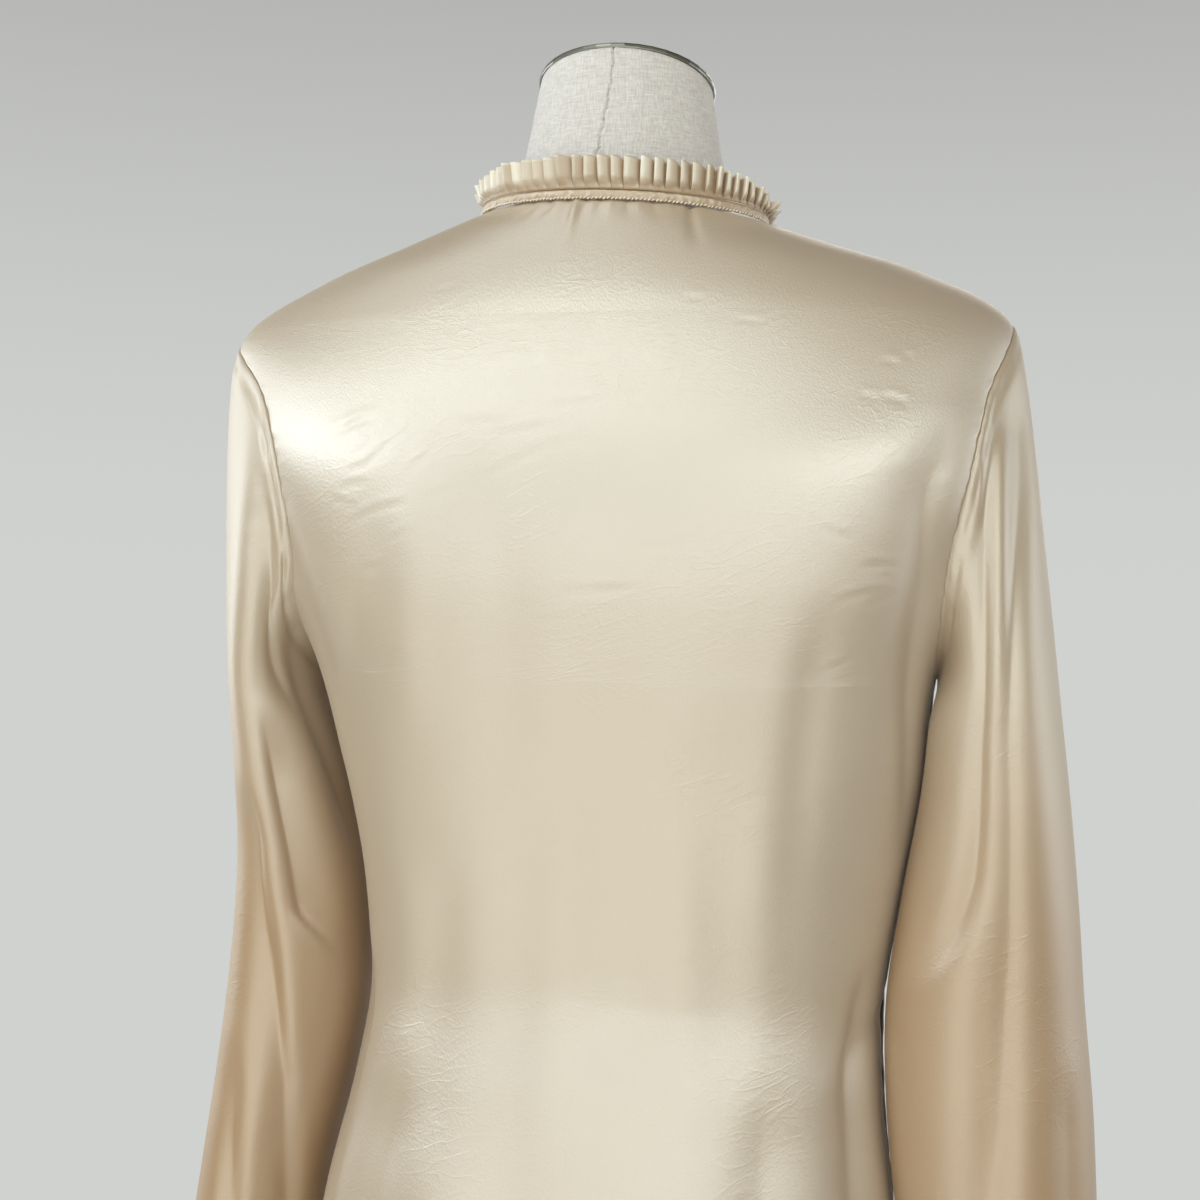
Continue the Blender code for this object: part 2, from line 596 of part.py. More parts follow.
def build_form(linen, metal, painted, collection):
    """The torso and neck as one closed body, then the cap, pole and base."""
    levels = np.linspace(0, len(FORM_RINGS) - 1, FORM_ROWS + 1)
    turn = -np.arange(FORM_ROUND) * 360.0 / FORM_ROUND
    grid = ring_point(FORM, levels[:, None], turn[None, :])
    rows, columns = grid.shape[:2]
    faces = grid_faces(rows, columns, True).tolist()
    faces.append(list(range(columns))[::-1])
    faces.append([(rows - 1) * columns + i for i in range(columns)])
    mesh = bpy.data.meshes.new("form_torso")
    mesh.from_pydata(to_metres(grid.reshape(-1, 3)).tolist(), [], faces)
    mesh.shade_smooth()
    add_object("form_torso", mesh, linen, collection)

    names, form = FORM
    top = form[-1]
    tilt = math.atan(top[names["tilt"]])
    lift = SEAM_GAP + CAP_THICKNESS / 2
    middle = np.array((
        0.0,
        top[names["y_side"]] - math.sin(tilt) * lift,
        top[names["z_side"]] + math.cos(tilt) * lift,
    ))
    radius = top[names["half_width"]] + CAP_OVERHANG
    bpy.ops.mesh.primitive_cylinder_add(
        vertices=40, radius=radius * MM, depth=CAP_THICKNESS * MM, location=to_metres(middle),
        rotation=(tilt, 0.0, 0.0),
    )
    cap = bpy.context.object
    adopt(cap, "neck_cap", metal, collection)
    edge = cap.modifiers.new("edge", "BEVEL")
    edge.width = CAP_ROUNDING * MM
    edge.segments = 2

    flange_top = form[0, names["z_side"]] + NECK_SEAM_HEIGHT - SEAM_GAP
    flange = [(radius, flange_top + height) for radius, height in FLANGE_PROFILE]
    turned("pole_flange", flange, metal, collection, 32)
    pole_top, pole_foot = flange[-1][1] - SEAM_GAP, BASE_PROFILE[0][1] + SEAM_GAP
    pole = ((0.0, pole_top), (POLE_RADIUS, pole_top), (POLE_RADIUS, pole_foot), (0.0, pole_foot))
    turned("pole", pole, metal, collection, 24)
    turned("base", BASE_PROFILE, painted, collection, 48)


def adopt(made, name, finish, collection):
    """Names a primitive, gives it its finish and moves it to the object's collection."""
    made.name = name
    made.data.name = name
    made.data.materials.append(finish)
    for holder in list(made.users_collection):
        holder.objects.unlink(made)
    collection.objects.link(made)


def turned(name, profile, finish, collection, steps):
    """A profile (radius, height) turned about the stand's axis."""
    mesh = bpy.data.meshes.new(name)
    points = [(radius * MM, 0.0, height * MM) for radius, height in profile]
    mesh.from_pydata(points, [(i, i + 1) for i in range(len(points) - 1)], [])
    made = add_object(name, mesh, finish, collection)
    spin = made.modifiers.new("turn", "SCREW")
    spin.steps = steps
    spin.render_steps = steps
    spin.use_merge_vertices = True
    spin.merge_threshold = 0.00001
    spin.use_smooth_shade = True
    return made


def main():
    for old in list(bpy.data.objects):
        bpy.data.objects.remove(old)
    collection = bpy.data.collections.new("silk_blouse")
    bpy.context.scene.collection.children.link(collection)
    silk = material("silk_satin", "DCCFB8", 0.32)
    pearl = material("shell_button", "EDE6D8", 0.25)
    linen = material("linen_cover", "D4D4D0", 0.9)
    steel = material("brushed_steel", "8B8B86", 0.35, 1.0)
    painted = material("painted_iron", "3A3936", 0.5)
    build_back(silk, collection)
    for side in ("left", "right"):
        build_front(side, silk, collection)
        build_sleeve(side, silk, collection)
        build_cuff(side, silk, pearl, collection)
    build_neck(silk, collection)
    build_front_buttons(pearl, collection)
    build_form(linen, steel, painted, collection)


main()
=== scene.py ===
# %% [markdown]
# # A silk blouse on a dress form
# The blouse is champagne silk satin: a one-piece back gathered into a narrow neck band with a pleated
# ruffle, two fronts with seven buttons, long set-in sleeves and narrow cuffs. It hangs on a
# limbless dress form with a pole and a round base.
# Every piece of cloth is worked out as a surface of two parameters with numpy, so that folds and
# creases can be placed exactly, and is then given a thin wall. A cloth simulation was the other way,
# but it can't be told where a crease goes.

# %% The frame: the CAD model that every piece has to fit
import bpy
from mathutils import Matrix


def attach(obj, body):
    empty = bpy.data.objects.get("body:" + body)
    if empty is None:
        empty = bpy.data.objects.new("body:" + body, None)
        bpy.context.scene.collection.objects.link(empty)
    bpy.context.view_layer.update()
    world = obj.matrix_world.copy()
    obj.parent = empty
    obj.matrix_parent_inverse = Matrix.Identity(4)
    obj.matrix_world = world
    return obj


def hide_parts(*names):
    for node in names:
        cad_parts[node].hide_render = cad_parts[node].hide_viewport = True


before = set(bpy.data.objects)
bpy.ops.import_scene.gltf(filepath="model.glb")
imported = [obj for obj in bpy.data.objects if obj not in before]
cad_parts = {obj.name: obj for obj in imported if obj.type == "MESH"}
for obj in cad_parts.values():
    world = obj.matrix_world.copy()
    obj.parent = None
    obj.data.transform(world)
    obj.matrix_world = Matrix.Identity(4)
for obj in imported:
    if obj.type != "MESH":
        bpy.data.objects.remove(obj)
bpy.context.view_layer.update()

# %% Modules and units
import math

import bpy
import numpy as np
from mathutils import Matrix, Vector

MM = 0.001
SIDES = (("left", 1), ("right", -1))
NECK_SEAM_HEIGHT = 1415.0  # tables are in millimetres, with heights from the neck seam at centre back
HEM_DROP = 620.0
SILK = 0.5  # wall of the shown cloth; real silk satin is about 0.15 mm thick
SEAM_GAP = 0.3
CHEST_HEIGHT = 1.15  # metres, where the lights aim

# %% [markdown]
# ## Camera, light and floor
# The camera stands behind the form, a little to the wearer's right, level with the shoulder blades.
# Silk satin shows its shape by what it mirrors, so the light comes from large soft areas, like the
# windows of a room. Most stand behind the camera and above it and give a broad pale band where the
# back leans towards them. The room is dimmer above, which leaves the tops of the shoulders darker.

# %% Camera
VIEW_TURN, VIEW_ROLL = math.radians(192.0), math.radians(1.5)
VIEW_DISTANCE, VIEW_HEIGHT = 1.064, 1.195  # metres
towards = Vector((math.sin(VIEW_TURN), -math.cos(VIEW_TURN), 0.0))
right = Vector((math.cos(VIEW_TURN), math.sin(VIEW_TURN), 0.0))
up = Vector((0.0, 0.0, 1.0))


def evenly_round(count):
    """Angles evenly round a circle."""
    return np.arange(count) * 2 * np.pi / count


def aim(thing, place, forward, upward):
    """Turns a camera or light: its -Z looks along forward and its Y is as near upward as can be."""
    forward = forward.normalized()
    side = forward.cross(upward).normalized()
    turned = Matrix((side, side.cross(forward), -forward)).transposed().to_4x4()
    turned.translation = place
    thing.matrix_world = turned


lens = bpy.data.cameras.new("camera")
lens.sensor_width = 36.0
lens.lens = 60.0
camera = bpy.data.objects.new("camera", lens)
bpy.context.scene.collection.objects.link(camera)
bpy.context.scene.camera = camera
aim(
    camera, towards * VIEW_DISTANCE + up * VIEW_HEIGHT, -towards - right * 0.0048 + up * 0.016,
    up * math.cos(VIEW_ROLL) - right * math.sin(VIEW_ROLL),
)
print("camera at", tuple(round(v, 3) for v in camera.matrix_world.translation))

# %% Colours and nodes
def colour(hex_text):
    """A colour given as it looks on screen (sRGB), turned to linear light."""
    parts = np.array([int(hex_text[i:i + 2], 16) / 255 for i in (0, 2, 4)])
    linear = np.where(parts > 0.04045, ((parts + 0.055) / 1.055) ** 2.4, parts / 12.92)
    return (*linear.tolist(), 1.0)


def add_node(tree, kind, settings=None, **links):
    """Adds a node. Settings are its own properties or its sockets' values, links are sockets."""
    made = tree.nodes.new(kind)
    for name, value in (settings or {}).items():
        if hasattr(made, name):
            setattr(made, name, value)
        else:
            made.inputs[name].default_value = value
    for name, source in links.items():
        socket = name.replace("_", " ")
        target = made.inputs[int(name[1:])] if name[1:].isdigit() else made.inputs[socket]
        tree.links.new(source, target)
    return made


def new_material(name):
    """An empty material with its output node."""
    made = bpy.data.materials.new(name)
    made.use_nodes = True
    made.node_tree.nodes.clear()
    return made, made.node_tree


def feed(tree, source, place):
    """Links a node's output to an input, or sets the input's value."""
    if isinstance(source, bpy.types.NodeSocket):
        tree.links.new(source, place)
    else:
        place.default_value = source


def mix(tree, share, first, second):
    """Two colours blended by a share."""
    made = add_node(tree, "ShaderNodeMix", {"data_type": "RGBA"}, Factor=share)
    feed(tree, first, made.inputs[6])
    feed(tree, second, made.inputs[7])
    return made.outputs[2]


def maths(tree, operation, *sources):
    """One sum of outputs and numbers."""
    made = add_node(tree, "ShaderNodeMath", {"operation": operation})
    for source, place in zip(sources, made.inputs):
        feed(tree, source, place)
    return made.outputs["Value"]


def ramp(tree, value, start, end, low=0.0, high=1.0, curve="SMOOTHSTEP"):
    """A value carried from the range start to end over to the range low to high."""
    settings = {"From Min": start, "From Max": end, "To Min": low, "To Max": high, "interpolation_type": curve}
    return add_node(tree, "ShaderNodeMapRange", settings, Value=value).outputs["Result"]


def noise(tree, place, scale, detail, **more):
    """Smooth noise from 0 to 1 at a place."""
    return add_node(tree, "ShaderNodeTexNoise", {"Scale": scale, "Detail": detail, **more}, Vector=place).outputs["Fac"]


def scaled(tree, place, scale, **more):
    """A place stretched along its axes."""
    return add_node(tree, "ShaderNodeMapping", {"Scale": scale, **more}, Vector=place).outputs["Vector"]


def bump(tree, height, strength, distance, **normal):
    """The direction of a surface that follows a height, at most a distance in metres."""
    settings = {"Strength": strength, "Distance": distance}
    return add_node(tree, "ShaderNodeBump", settings, Height=height, **normal).outputs["Normal"]


def surface(tree, settings, **links):
    """The material's shader, joined to its output."""
    shader = add_node(tree, "ShaderNodeBsdfPrincipled", settings, **links)
    add_node(tree, "ShaderNodeOutputMaterial", Surface=shader.outputs["BSDF"])


# %% Light
world = bpy.data.worlds.new("soft_room")
bpy.context.scene.world = world
world.use_nodes = True
sky = world.node_tree
sky.nodes.clear()
direction = add_node(sky, "ShaderNodeTexCoord").outputs["Generated"]
parts = add_node(sky, "ShaderNodeSeparateXYZ", Vector=direction).outputs
room = mix(sky, ramp(sky, parts["Z"], 0.0, 0.75), colour("D0D2D0"), colour("6E6963"))
room = mix(sky, ramp(sky, parts["Y"], -0.45, 0.4), room, colour("72634A"))
light_out = add_node(sky, "ShaderNodeBackground", {"Strength": 1.0}, Color=room)
add_node(sky, "ShaderNodeOutputWorld", Surface=light_out.outputs["Background"])


def soft_light(name, place, target, width, height, power, tint, roll=0.0):
    """A large area light at a place, aimed at a target, both in metres, and rolled by some degrees."""
    lamp = bpy.data.lights.new(name, "AREA")
    lamp.shape = "RECTANGLE"
    lamp.size = width
    lamp.size_y = height
    lamp.energy = power
    lamp.color = colour(tint)[:3]
    made = bpy.data.objects.new(name, lamp)
    made.visible_camera = False
    bpy.context.scene.collection.objects.link(made)
    aim(
        made, Vector(place), Vector(target) - Vector(place),
        up * math.cos(math.radians(roll)) + Vector((math.sin(math.radians(roll)), 0.0, 0.0)),
    )


def around_it(turn, elevation, distance=2.6):
    """A place around the chest: turn 0 is straight behind and 90 on the wearer's left, in degrees."""
    turn, elevation = math.radians(turn), math.radians(elevation)
    flat = distance * math.cos(elevation)
    return flat * math.sin(turn), flat * math.cos(turn), CHEST_HEIGHT + distance * math.sin(elevation)


LIGHTS = (  # name, turn, elevation, width, height, power, tint
    ("room_behind", 2, 4, 3.0, 0.8, 15.0, "F8FFF8"), ("high_window_right", -24, 24, 1.9, 0.7, 13.0, "F6FFFA"),
    ("high_corner_right", -45, 30, 0.9, 0.6, 4.5, "F6FFFA"), ("window_left", 56, 24, 1.9, 0.8, 22.5, "F2FEFF"),
    ("high_window_left", 22, 46, 1.3, 0.8, 13.0, "F4FFFA"), ("skylight", 60, 68, 1.0, 0.9, 5.5, "F4FEFF"),
    ("floor_glow", 12, -22, 2.4, 1.0, 14.0, "FFFDEE"), ("side_right", -110, 5, 1.0, 1.4, 10.0, "F8FFFA"),
    ("low_window_right", -52, 6, 1.2, 0.7, 3.0, "F8FFFA"), ("side_left", 108, 8, 1.0, 1.4, 18.0, "F4FEFF"),
    ("front_fill", 180, 20, 1.8, 1.4, 30.0, "FFFCF6"),
)
for name, turn, elevation, *settings in LIGHTS:
    soft_light(name, around_it(turn, elevation), (0.0, 0.0, CHEST_HEIGHT), *settings)
print(len(LIGHTS), "lights")

# %% Floor
floor_mesh = bpy.data.meshes.new("floor")
around = evenly_round(96)
rim = np.stack((2.3 * np.cos(around), 2.3 * np.sin(around), 0 * around), axis=-1)
floor_mesh.from_pydata(rim, [], [list(range(len(rim)))])
floor = bpy.data.objects.new("floor", floor_mesh)
bpy.context.scene.collection.objects.link(floor)
plaster, tree = new_material("pale_floor")
surface(tree, {"Base Color": colour("D6D7D4"), "Roughness": 0.8})
floor_mesh.materials.append(plaster)

# %% [markdown]
# ## Finishes
# Silk satin is a weave of long floats: each warp thread runs over many weft threads, so the cloth
# is smooth and mirrors softly, more along one way of the cloth than the other.

# %% Silk satin
# Wear leaves fine crease lines, drawn where a stretched noise crosses its middle value: one set
# about 24 mm long and 8 mm apart, one shorter and turned the other way, both only in patches.
WEAR_LINES = (  # turned by degrees, length and spacing in metres, depth in metres
    (27.0, (0.026, 0.0085, 1.0), 0.00005), (-14.0, (0.014, 0.0065, 1.0), 0.00003),
)
GRAIN = (1000.0, 620.0, 1.0)  # threads of 0.2 mm are too fine to show: drawn about 0.9 mm wide, 2 mm long


def silk_satin(name, shade, light, index=2.5, rough=0.44, along_threads=0.6):
    """Woven silk satin in two near shades, with its grain and small crumples as bump."""
    made, tree = new_material(name)
    place = add_node(tree, "ShaderNodeUVMap", {"uv_map": "cloth"}).outputs["UV"]
    tone = mix(tree, noise(tree, place, 9.0, 3.0, Roughness=0.55), colour(shade), colour(light))
    patches = ramp(tree, noise(tree, place, 17.0, 1.0), 0.43, 0.68, 0.15, 1.0, "LINEAR")
    normal = {}
    for turned, size, depth in WEAR_LINES:
        slant = scaled(tree, place, size, vector_type="TEXTURE", Rotation=(0.0, 0.0, math.radians(turned)))
        field = noise(tree, slant, 1.0, 1.5, Roughness=0.45, Distortion=0.5)
        off_line = maths(tree, "ABSOLUTE", maths(tree, "SUBTRACT", field, 0.5))
        line = ramp(tree, off_line, 0.0, 0.05, 1.0, 0.0)
        relief = maths(tree, "MULTIPLY", maths(tree, "ADD", line, field), patches)
        normal["Normal"] = bump(tree, relief, 1.0, depth, **normal)
    grain = noise(tree, scaled(tree, place, GRAIN), 1.0, 2.0, Roughness=0.6)
    weave = bump(tree, grain, 0.8, 0.00014, **normal)
    along = add_node(tree, "ShaderNodeTangent", {"direction_type": "UV_MAP", "uv_map": "cloth"})
    surface(
        tree,
        {
            "Metallic": 0.0, "Roughness": rough, "IOR": index, "Specular IOR Level": 1.0, "Anisotropic": along_threads,
            "Sheen Weight": 0.15, "Sheen Roughness": 0.35, "Sheen Tint": colour("FFF6E6"),
        },
        Base_Color=tone, Normal=weave, Tangent=along.outputs["Tangent"],
    )
    return made


def retint(tree, share, hex_text):
    """Blends a second colour into a satin's own."""
    base = next(node for node in tree.nodes if node.type == "BSDF_PRINCIPLED").inputs["Base Color"]
    tree.links.new(mix(tree, share, base.links[0].from_socket, colour(hex_text)), base)


satin = silk_satin("silk_satin", "B09B84", "BBA790")
# Over the pale form the thin silk shows light; where it hangs empty its colour is deeper, and it is painted darker and
# warmer still as painted shade for the shadowed insides of the sleeves and cuffs.
empty_shaded_satin = silk_satin("silk_satin_unlined_painted_shade", "A0794C", "AC885C", 2.2, 0.47, 0.45)
ruffle_satin = silk_satin("silk_satin_ruffle", "9C7D5A", "B0916A", 2.0)
# Painted highlight: the sleeve's colour is blended paler with height towards the shoulder, where the hanging sleeve is
# pulled smooth and catches the light; lower down it stays darker.
tree = empty_shaded_satin.node_tree
place = add_node(tree, "ShaderNodeTexCoord").outputs["Object"]
place = add_node(tree, "ShaderNodeSeparateXYZ", Vector=place).outputs["Z"]
retint(tree, ramp(tree, place, 1.02, 1.22), "B5A087")
# Painted highlight and shade: the ruffle's point attribute paints the pleats' fold edges and top edge pale where light
# would catch them, and some whole pleats paler than others.
tree = ruffle_satin.node_tree
pleat_highlight = add_node(tree, "ShaderNodeAttribute", {"attribute_name": "painted_pleat_highlight"})
retint(tree, pleat_highlight.outputs["Fac"], "F2EBDC")

# %% Thread, shell, linen and metals
def plain_finish(name, hex_text, roughness, metallic=0.0, bump_scale=900.0, depth=0.3, spread=0.06):
    """A finish with fine noise in its colour and surface, read from Object coordinates."""
    made, tree = new_material(name)
    grain = noise(tree, add_node(tree, "ShaderNodeTexCoord").outputs["Object"], bump_scale, 3.0)
    base = np.array(colour(hex_text)[:3])
    dark, pale = (base * (1 - spread)).tolist(), np.minimum(base * (1 + spread), 1).tolist()
    tone = mix(tree, grain, (*dark, 1.0), (*pale, 1.0))
    settings = {"Roughness": roughness, "Metallic": metallic}
    surface(tree, settings, Base_Color=tone, Normal=bump(tree, grain, depth, 0.0002))
    return made


thread = plain_finish("silk_thread", "E2D8C2", 0.5)
band_thread = plain_finish("silk_thread_pale", "F4EDE0", 0.5)
flax_thread = plain_finish("flax_thread", "E4E4E0", 0.7)
shell = plain_finish("polished_shell", "EDE6D8", 0.22, bump_scale=250.0, depth=0.1, spread=0.1)


def woven_linen(name, dark, pale):
    """Plain-woven linen: two noises, one stretched across and one up, for the two sets of threads."""
    made, tree = new_material(name)
    place = add_node(tree, "ShaderNodeTexCoord").outputs["Object"]
    # Threads are about 0.5 mm apart and are drawn 0.8 mm wide so that they show.
    sets = [
        noise(tree, scaled(tree, place, scale), 1.0, 2.0) for scale in ((160.0, 160.0, 1250.0), (1250.0, 1250.0, 160.0))
    ]
    weave = ramp(tree, maths(tree, "ADD", *sets), 0.75, 1.25, curve="LINEAR")
    tone = mix(tree, weave, colour(dark), colour(pale))
    settings = {"Roughness": 0.9, "Sheen Weight": 0.2}
    surface(tree, settings, Base_Color=tone, Normal=bump(tree, weave, 0.7, 0.0004))
    return made


linen = woven_linen("linen_cover", "CAC5C5", "E2DDDC")
steel = plain_finish("brushed_steel", "86857E", 0.35, metallic=1.0, bump_scale=700.0, depth=0.15)
iron = plain_finish("painted_iron", "3A3936", 0.45, bump_scale=900.0, depth=0.25)
print(len(bpy.data.materials), "materials")

# %% [markdown]
# ## Surfaces
# A ring of cloth is an oval whose back and front halves have their own depth. The rings are read
# between their rows with a smooth curve, so the body is one surface of a level and a turn: the level
# counts rows up from the hem, and the turn is the angle round the ring.

# %% The body's rings
BODY_NAMES = (
    "z_back", "z_side", "z_front", "half_width", "shift", "y_side", "y_back", "y_front", "square", "roll", "flat_back",
)
BODY_RINGS = np.array((
    (-620, -620, -620, 160, -9, 12, 127, -106, 2.3, 0, 0.4),  # hem
    (-560, -560, -560, 154, -10, 11, 124, -104, 2.3, 0, 0.4),
    (-505, -505, -505, 147.5, -11.5, 10, 118, -103, 2.3, 0, 0.4),  # hip
    (-450, -450, -450, 138.5, -14.5, 8, 104, -103, 2.3, 0, 0.5),
    (-400, -400, -400, 135, -17, 5, 93, -106, 2.25, 0, 0.6),  # waist
    (-350, -350, -350, 140.5, -18.5, 3, 94, -114, 2.25, 0, 0.7),
    (-295, -293, -295, 151, -17, 1, 98, -127, 2.3, 0, 0.8),
    (-245, -240, -245, 160.5, -11.5, -2, 103, -138, 2.35, 0, 0.9),  # underarm
    (-192, -190, -198, 180, -7, -4, 106, -138, 2.4, 0, 1),
    (-143, -141, -160, 197, -5, -6, 103, -126, 2.4, 0, 1),
    (-100, -100, -130, 206, -2, -7, 93, -110, 2.4, 0, 0.6),
    (-62, -60, -106, 206, 0, -8, 81, -96, 2.35, -0.017, 0.1),  # shoulder tip
    (-38, -34.5, -92, 165, 0, -7, 71, -88, 2.3, -0.012, 0),
    (-17, -17, -80, 119, -1, -5, 60, -81, 2.15, 0.006, 0),
    (0, -1, -70, 76, -2, -3, 50, -75, 2.0, 0.035, 0),  # neckline
), float)
HEM, UNDERARM, SHOULDER_TIP, NECKLINE = 0.0, 7.0, 11.0, 14.0


def together(*values):
    """Values as float arrays of one shape."""
    return np.broadcast_arrays(*(np.asarray(value, float) for value in values))


def sine_cosine(degrees):
    return np.sin(np.radians(degrees)), np.cos(np.radians(degrees))


def flattened(sine, square):
    """A sine raised to 2 / square with its sign kept: above 2 an oval's sides go flatter."""
    return np.sign(sine) * np.abs(sine) ** (2 / square)


def between_rows(rows, level):
    """Reads a table at any level: a Catmull-Rom curve through each column."""
    level = np.asarray(level, float)
    padded = np.vstack((2 * rows[0] - rows[1], rows, 2 * rows[-1] - rows[-2]))
    row = np.clip(np.floor(level).astype(int), 0, len(rows) - 2)
    t = (level - row)[..., None]
    a, b, c, d = (padded[row + k] for k in range(4))
    return 0.5 * (2 * b + (c - a) * t + (2 * a - 5 * b + 4 * c - d) * t**2 + (3 * b - a - 3 * c + d) * t**3)


def oval(names, rows, level, turn):
    """A point on a ring: x follows sin(turn) and y follows cos(turn), both to the power 2 / square.

    Turn 0 is centre back and 90 the wearer's left. The height blends from back to side to front with
    cos squared, and roll lifts it with x.
    """
    level, turn = together(level, turn)
    value = between_rows(rows, level)
    get = {name: value[..., i] for i, name in enumerate(names)}
    sine, cosine = sine_cosine(turn)
    at_back = cosine > 0
    square = get["square"] + get.get("flat_back", 0.0) * at_back
    x = get.get("shift", 0.0) + get["half_width"] * flattened(sine, square)
    depth = np.where(at_back, get["y_back"], get["y_front"]) - get["y_side"]
    y = get["y_side"] + depth * flattened(np.abs(cosine), square)
    z = get["z_side"] + (np.where(at_back, get["z_back"], get["z_front"]) - get["z_side"]) * cosine**2
    z = z + get.get("tilt", 0.0) * (y - get["y_side"]) + get["roll"] * x
    return np.stack((x, y, z), axis=-1)


def unit(vectors):
    return vectors / np.linalg.norm(vectors, axis=-1, keepdims=True)


def bell(away, reach):
    """1 in the middle, falling as exp of minus the square of away over reach."""
    return np.exp(-((away / reach) ** 2))


def outward_of(surface_point, level, turn, step=0.4):
    """The outward direction of a surface of level and turn: its small steps up and round, crossed."""
    above = surface_point(level + 0.02, turn) - surface_point(level - 0.02, turn)
    beside = surface_point(level, turn + step) - surface_point(level, turn - step)
    return unit(np.cross(above, beside))


def soft_step(value):
    """0 below 0, 1 above 1, and an S-curve between."""
    value = np.clip(value, 0.0, 1.0)
    return value * value * (3 - 2 * value)


def row_value(name, level):
    """One column of the body's table."""
    return between_rows(BODY_RINGS, level)[..., BODY_NAMES.index(name)]


def body_oval(level, turn):
    """The body without folds."""
    return oval(BODY_NAMES, BODY_RINGS, level, turn)


# %% Folds: long soft troughs that run down the cloth
BODY_FOLDS = (  # path of (height, turn), half width on the low and the high side in degrees, depth
    (
        ((-105, -51), (-131, -51), (-146, -49), (-169, -52), (-201, -59), (-232, -66), (-264, -71), (-340, -77)),
        6, 9, 4.5,
    ),
    (((-130, 50), (-200, 52), (-290, 57)), 7, 7, 2.5),
    (((-370, -66), (-500, -64), (-680, -58)), 8, 8, 8.0),  # right hip
    (((-420, -31), (-540, -32), (-680, -34)), 10, 8, 4.5),
    (((-440, 7), (-550, 6), (-680, 5)), 9, 9, 3.0),
    (((-420, 37), (-540, 39), (-680, 41)), 8, 10, 4.5),
    (((-375, 70), (-500, 67), (-680, 62)), 8, 8, 7.0),  # left hip
    (((-290, 122), (-470, 124), (-680, 126)), 8, 10, 7.0),
    (((-280, 148), (-470, 150), (-680, 152)), 9, 7, 5.0),
    (((-290, -120), (-470, -123), (-680, -126)), 10, 8, 7.0),
    (((-300, -147), (-480, -149), (-680, -150)), 7, 9, 5.0),
    (((-360, 98), (-520, 99), (-680, 100)), 7, 7, 4.5),
    (((-350, -98), (-510, -99), (-680, -100)), 7, 7, 4.5),
)


def folds(table, turn, z, fade_length=55.0):
    """The depth of a trough about each fold's path, with a width for each side, fading at both ends."""
    relief = np.zeros(np.broadcast(turn, z).shape)
    for path, low, high, depth in table:
        heights, turns = np.array(path, float).T
        place = np.interp(-z, -heights, np.arange(len(path)))
        away = (turn - between_rows(turns[:, None], place)[..., 0] + 180.0) % 360.0 - 180.0
        width = np.where(away < 0, low, high)
        fade = soft_step((heights[0] - z) / fade_length) * soft_step((z - heights[-1]) / fade_length)
        relief = relief - depth * fade * np.exp(-(np.abs(away / width) ** 1.7))
    return relief


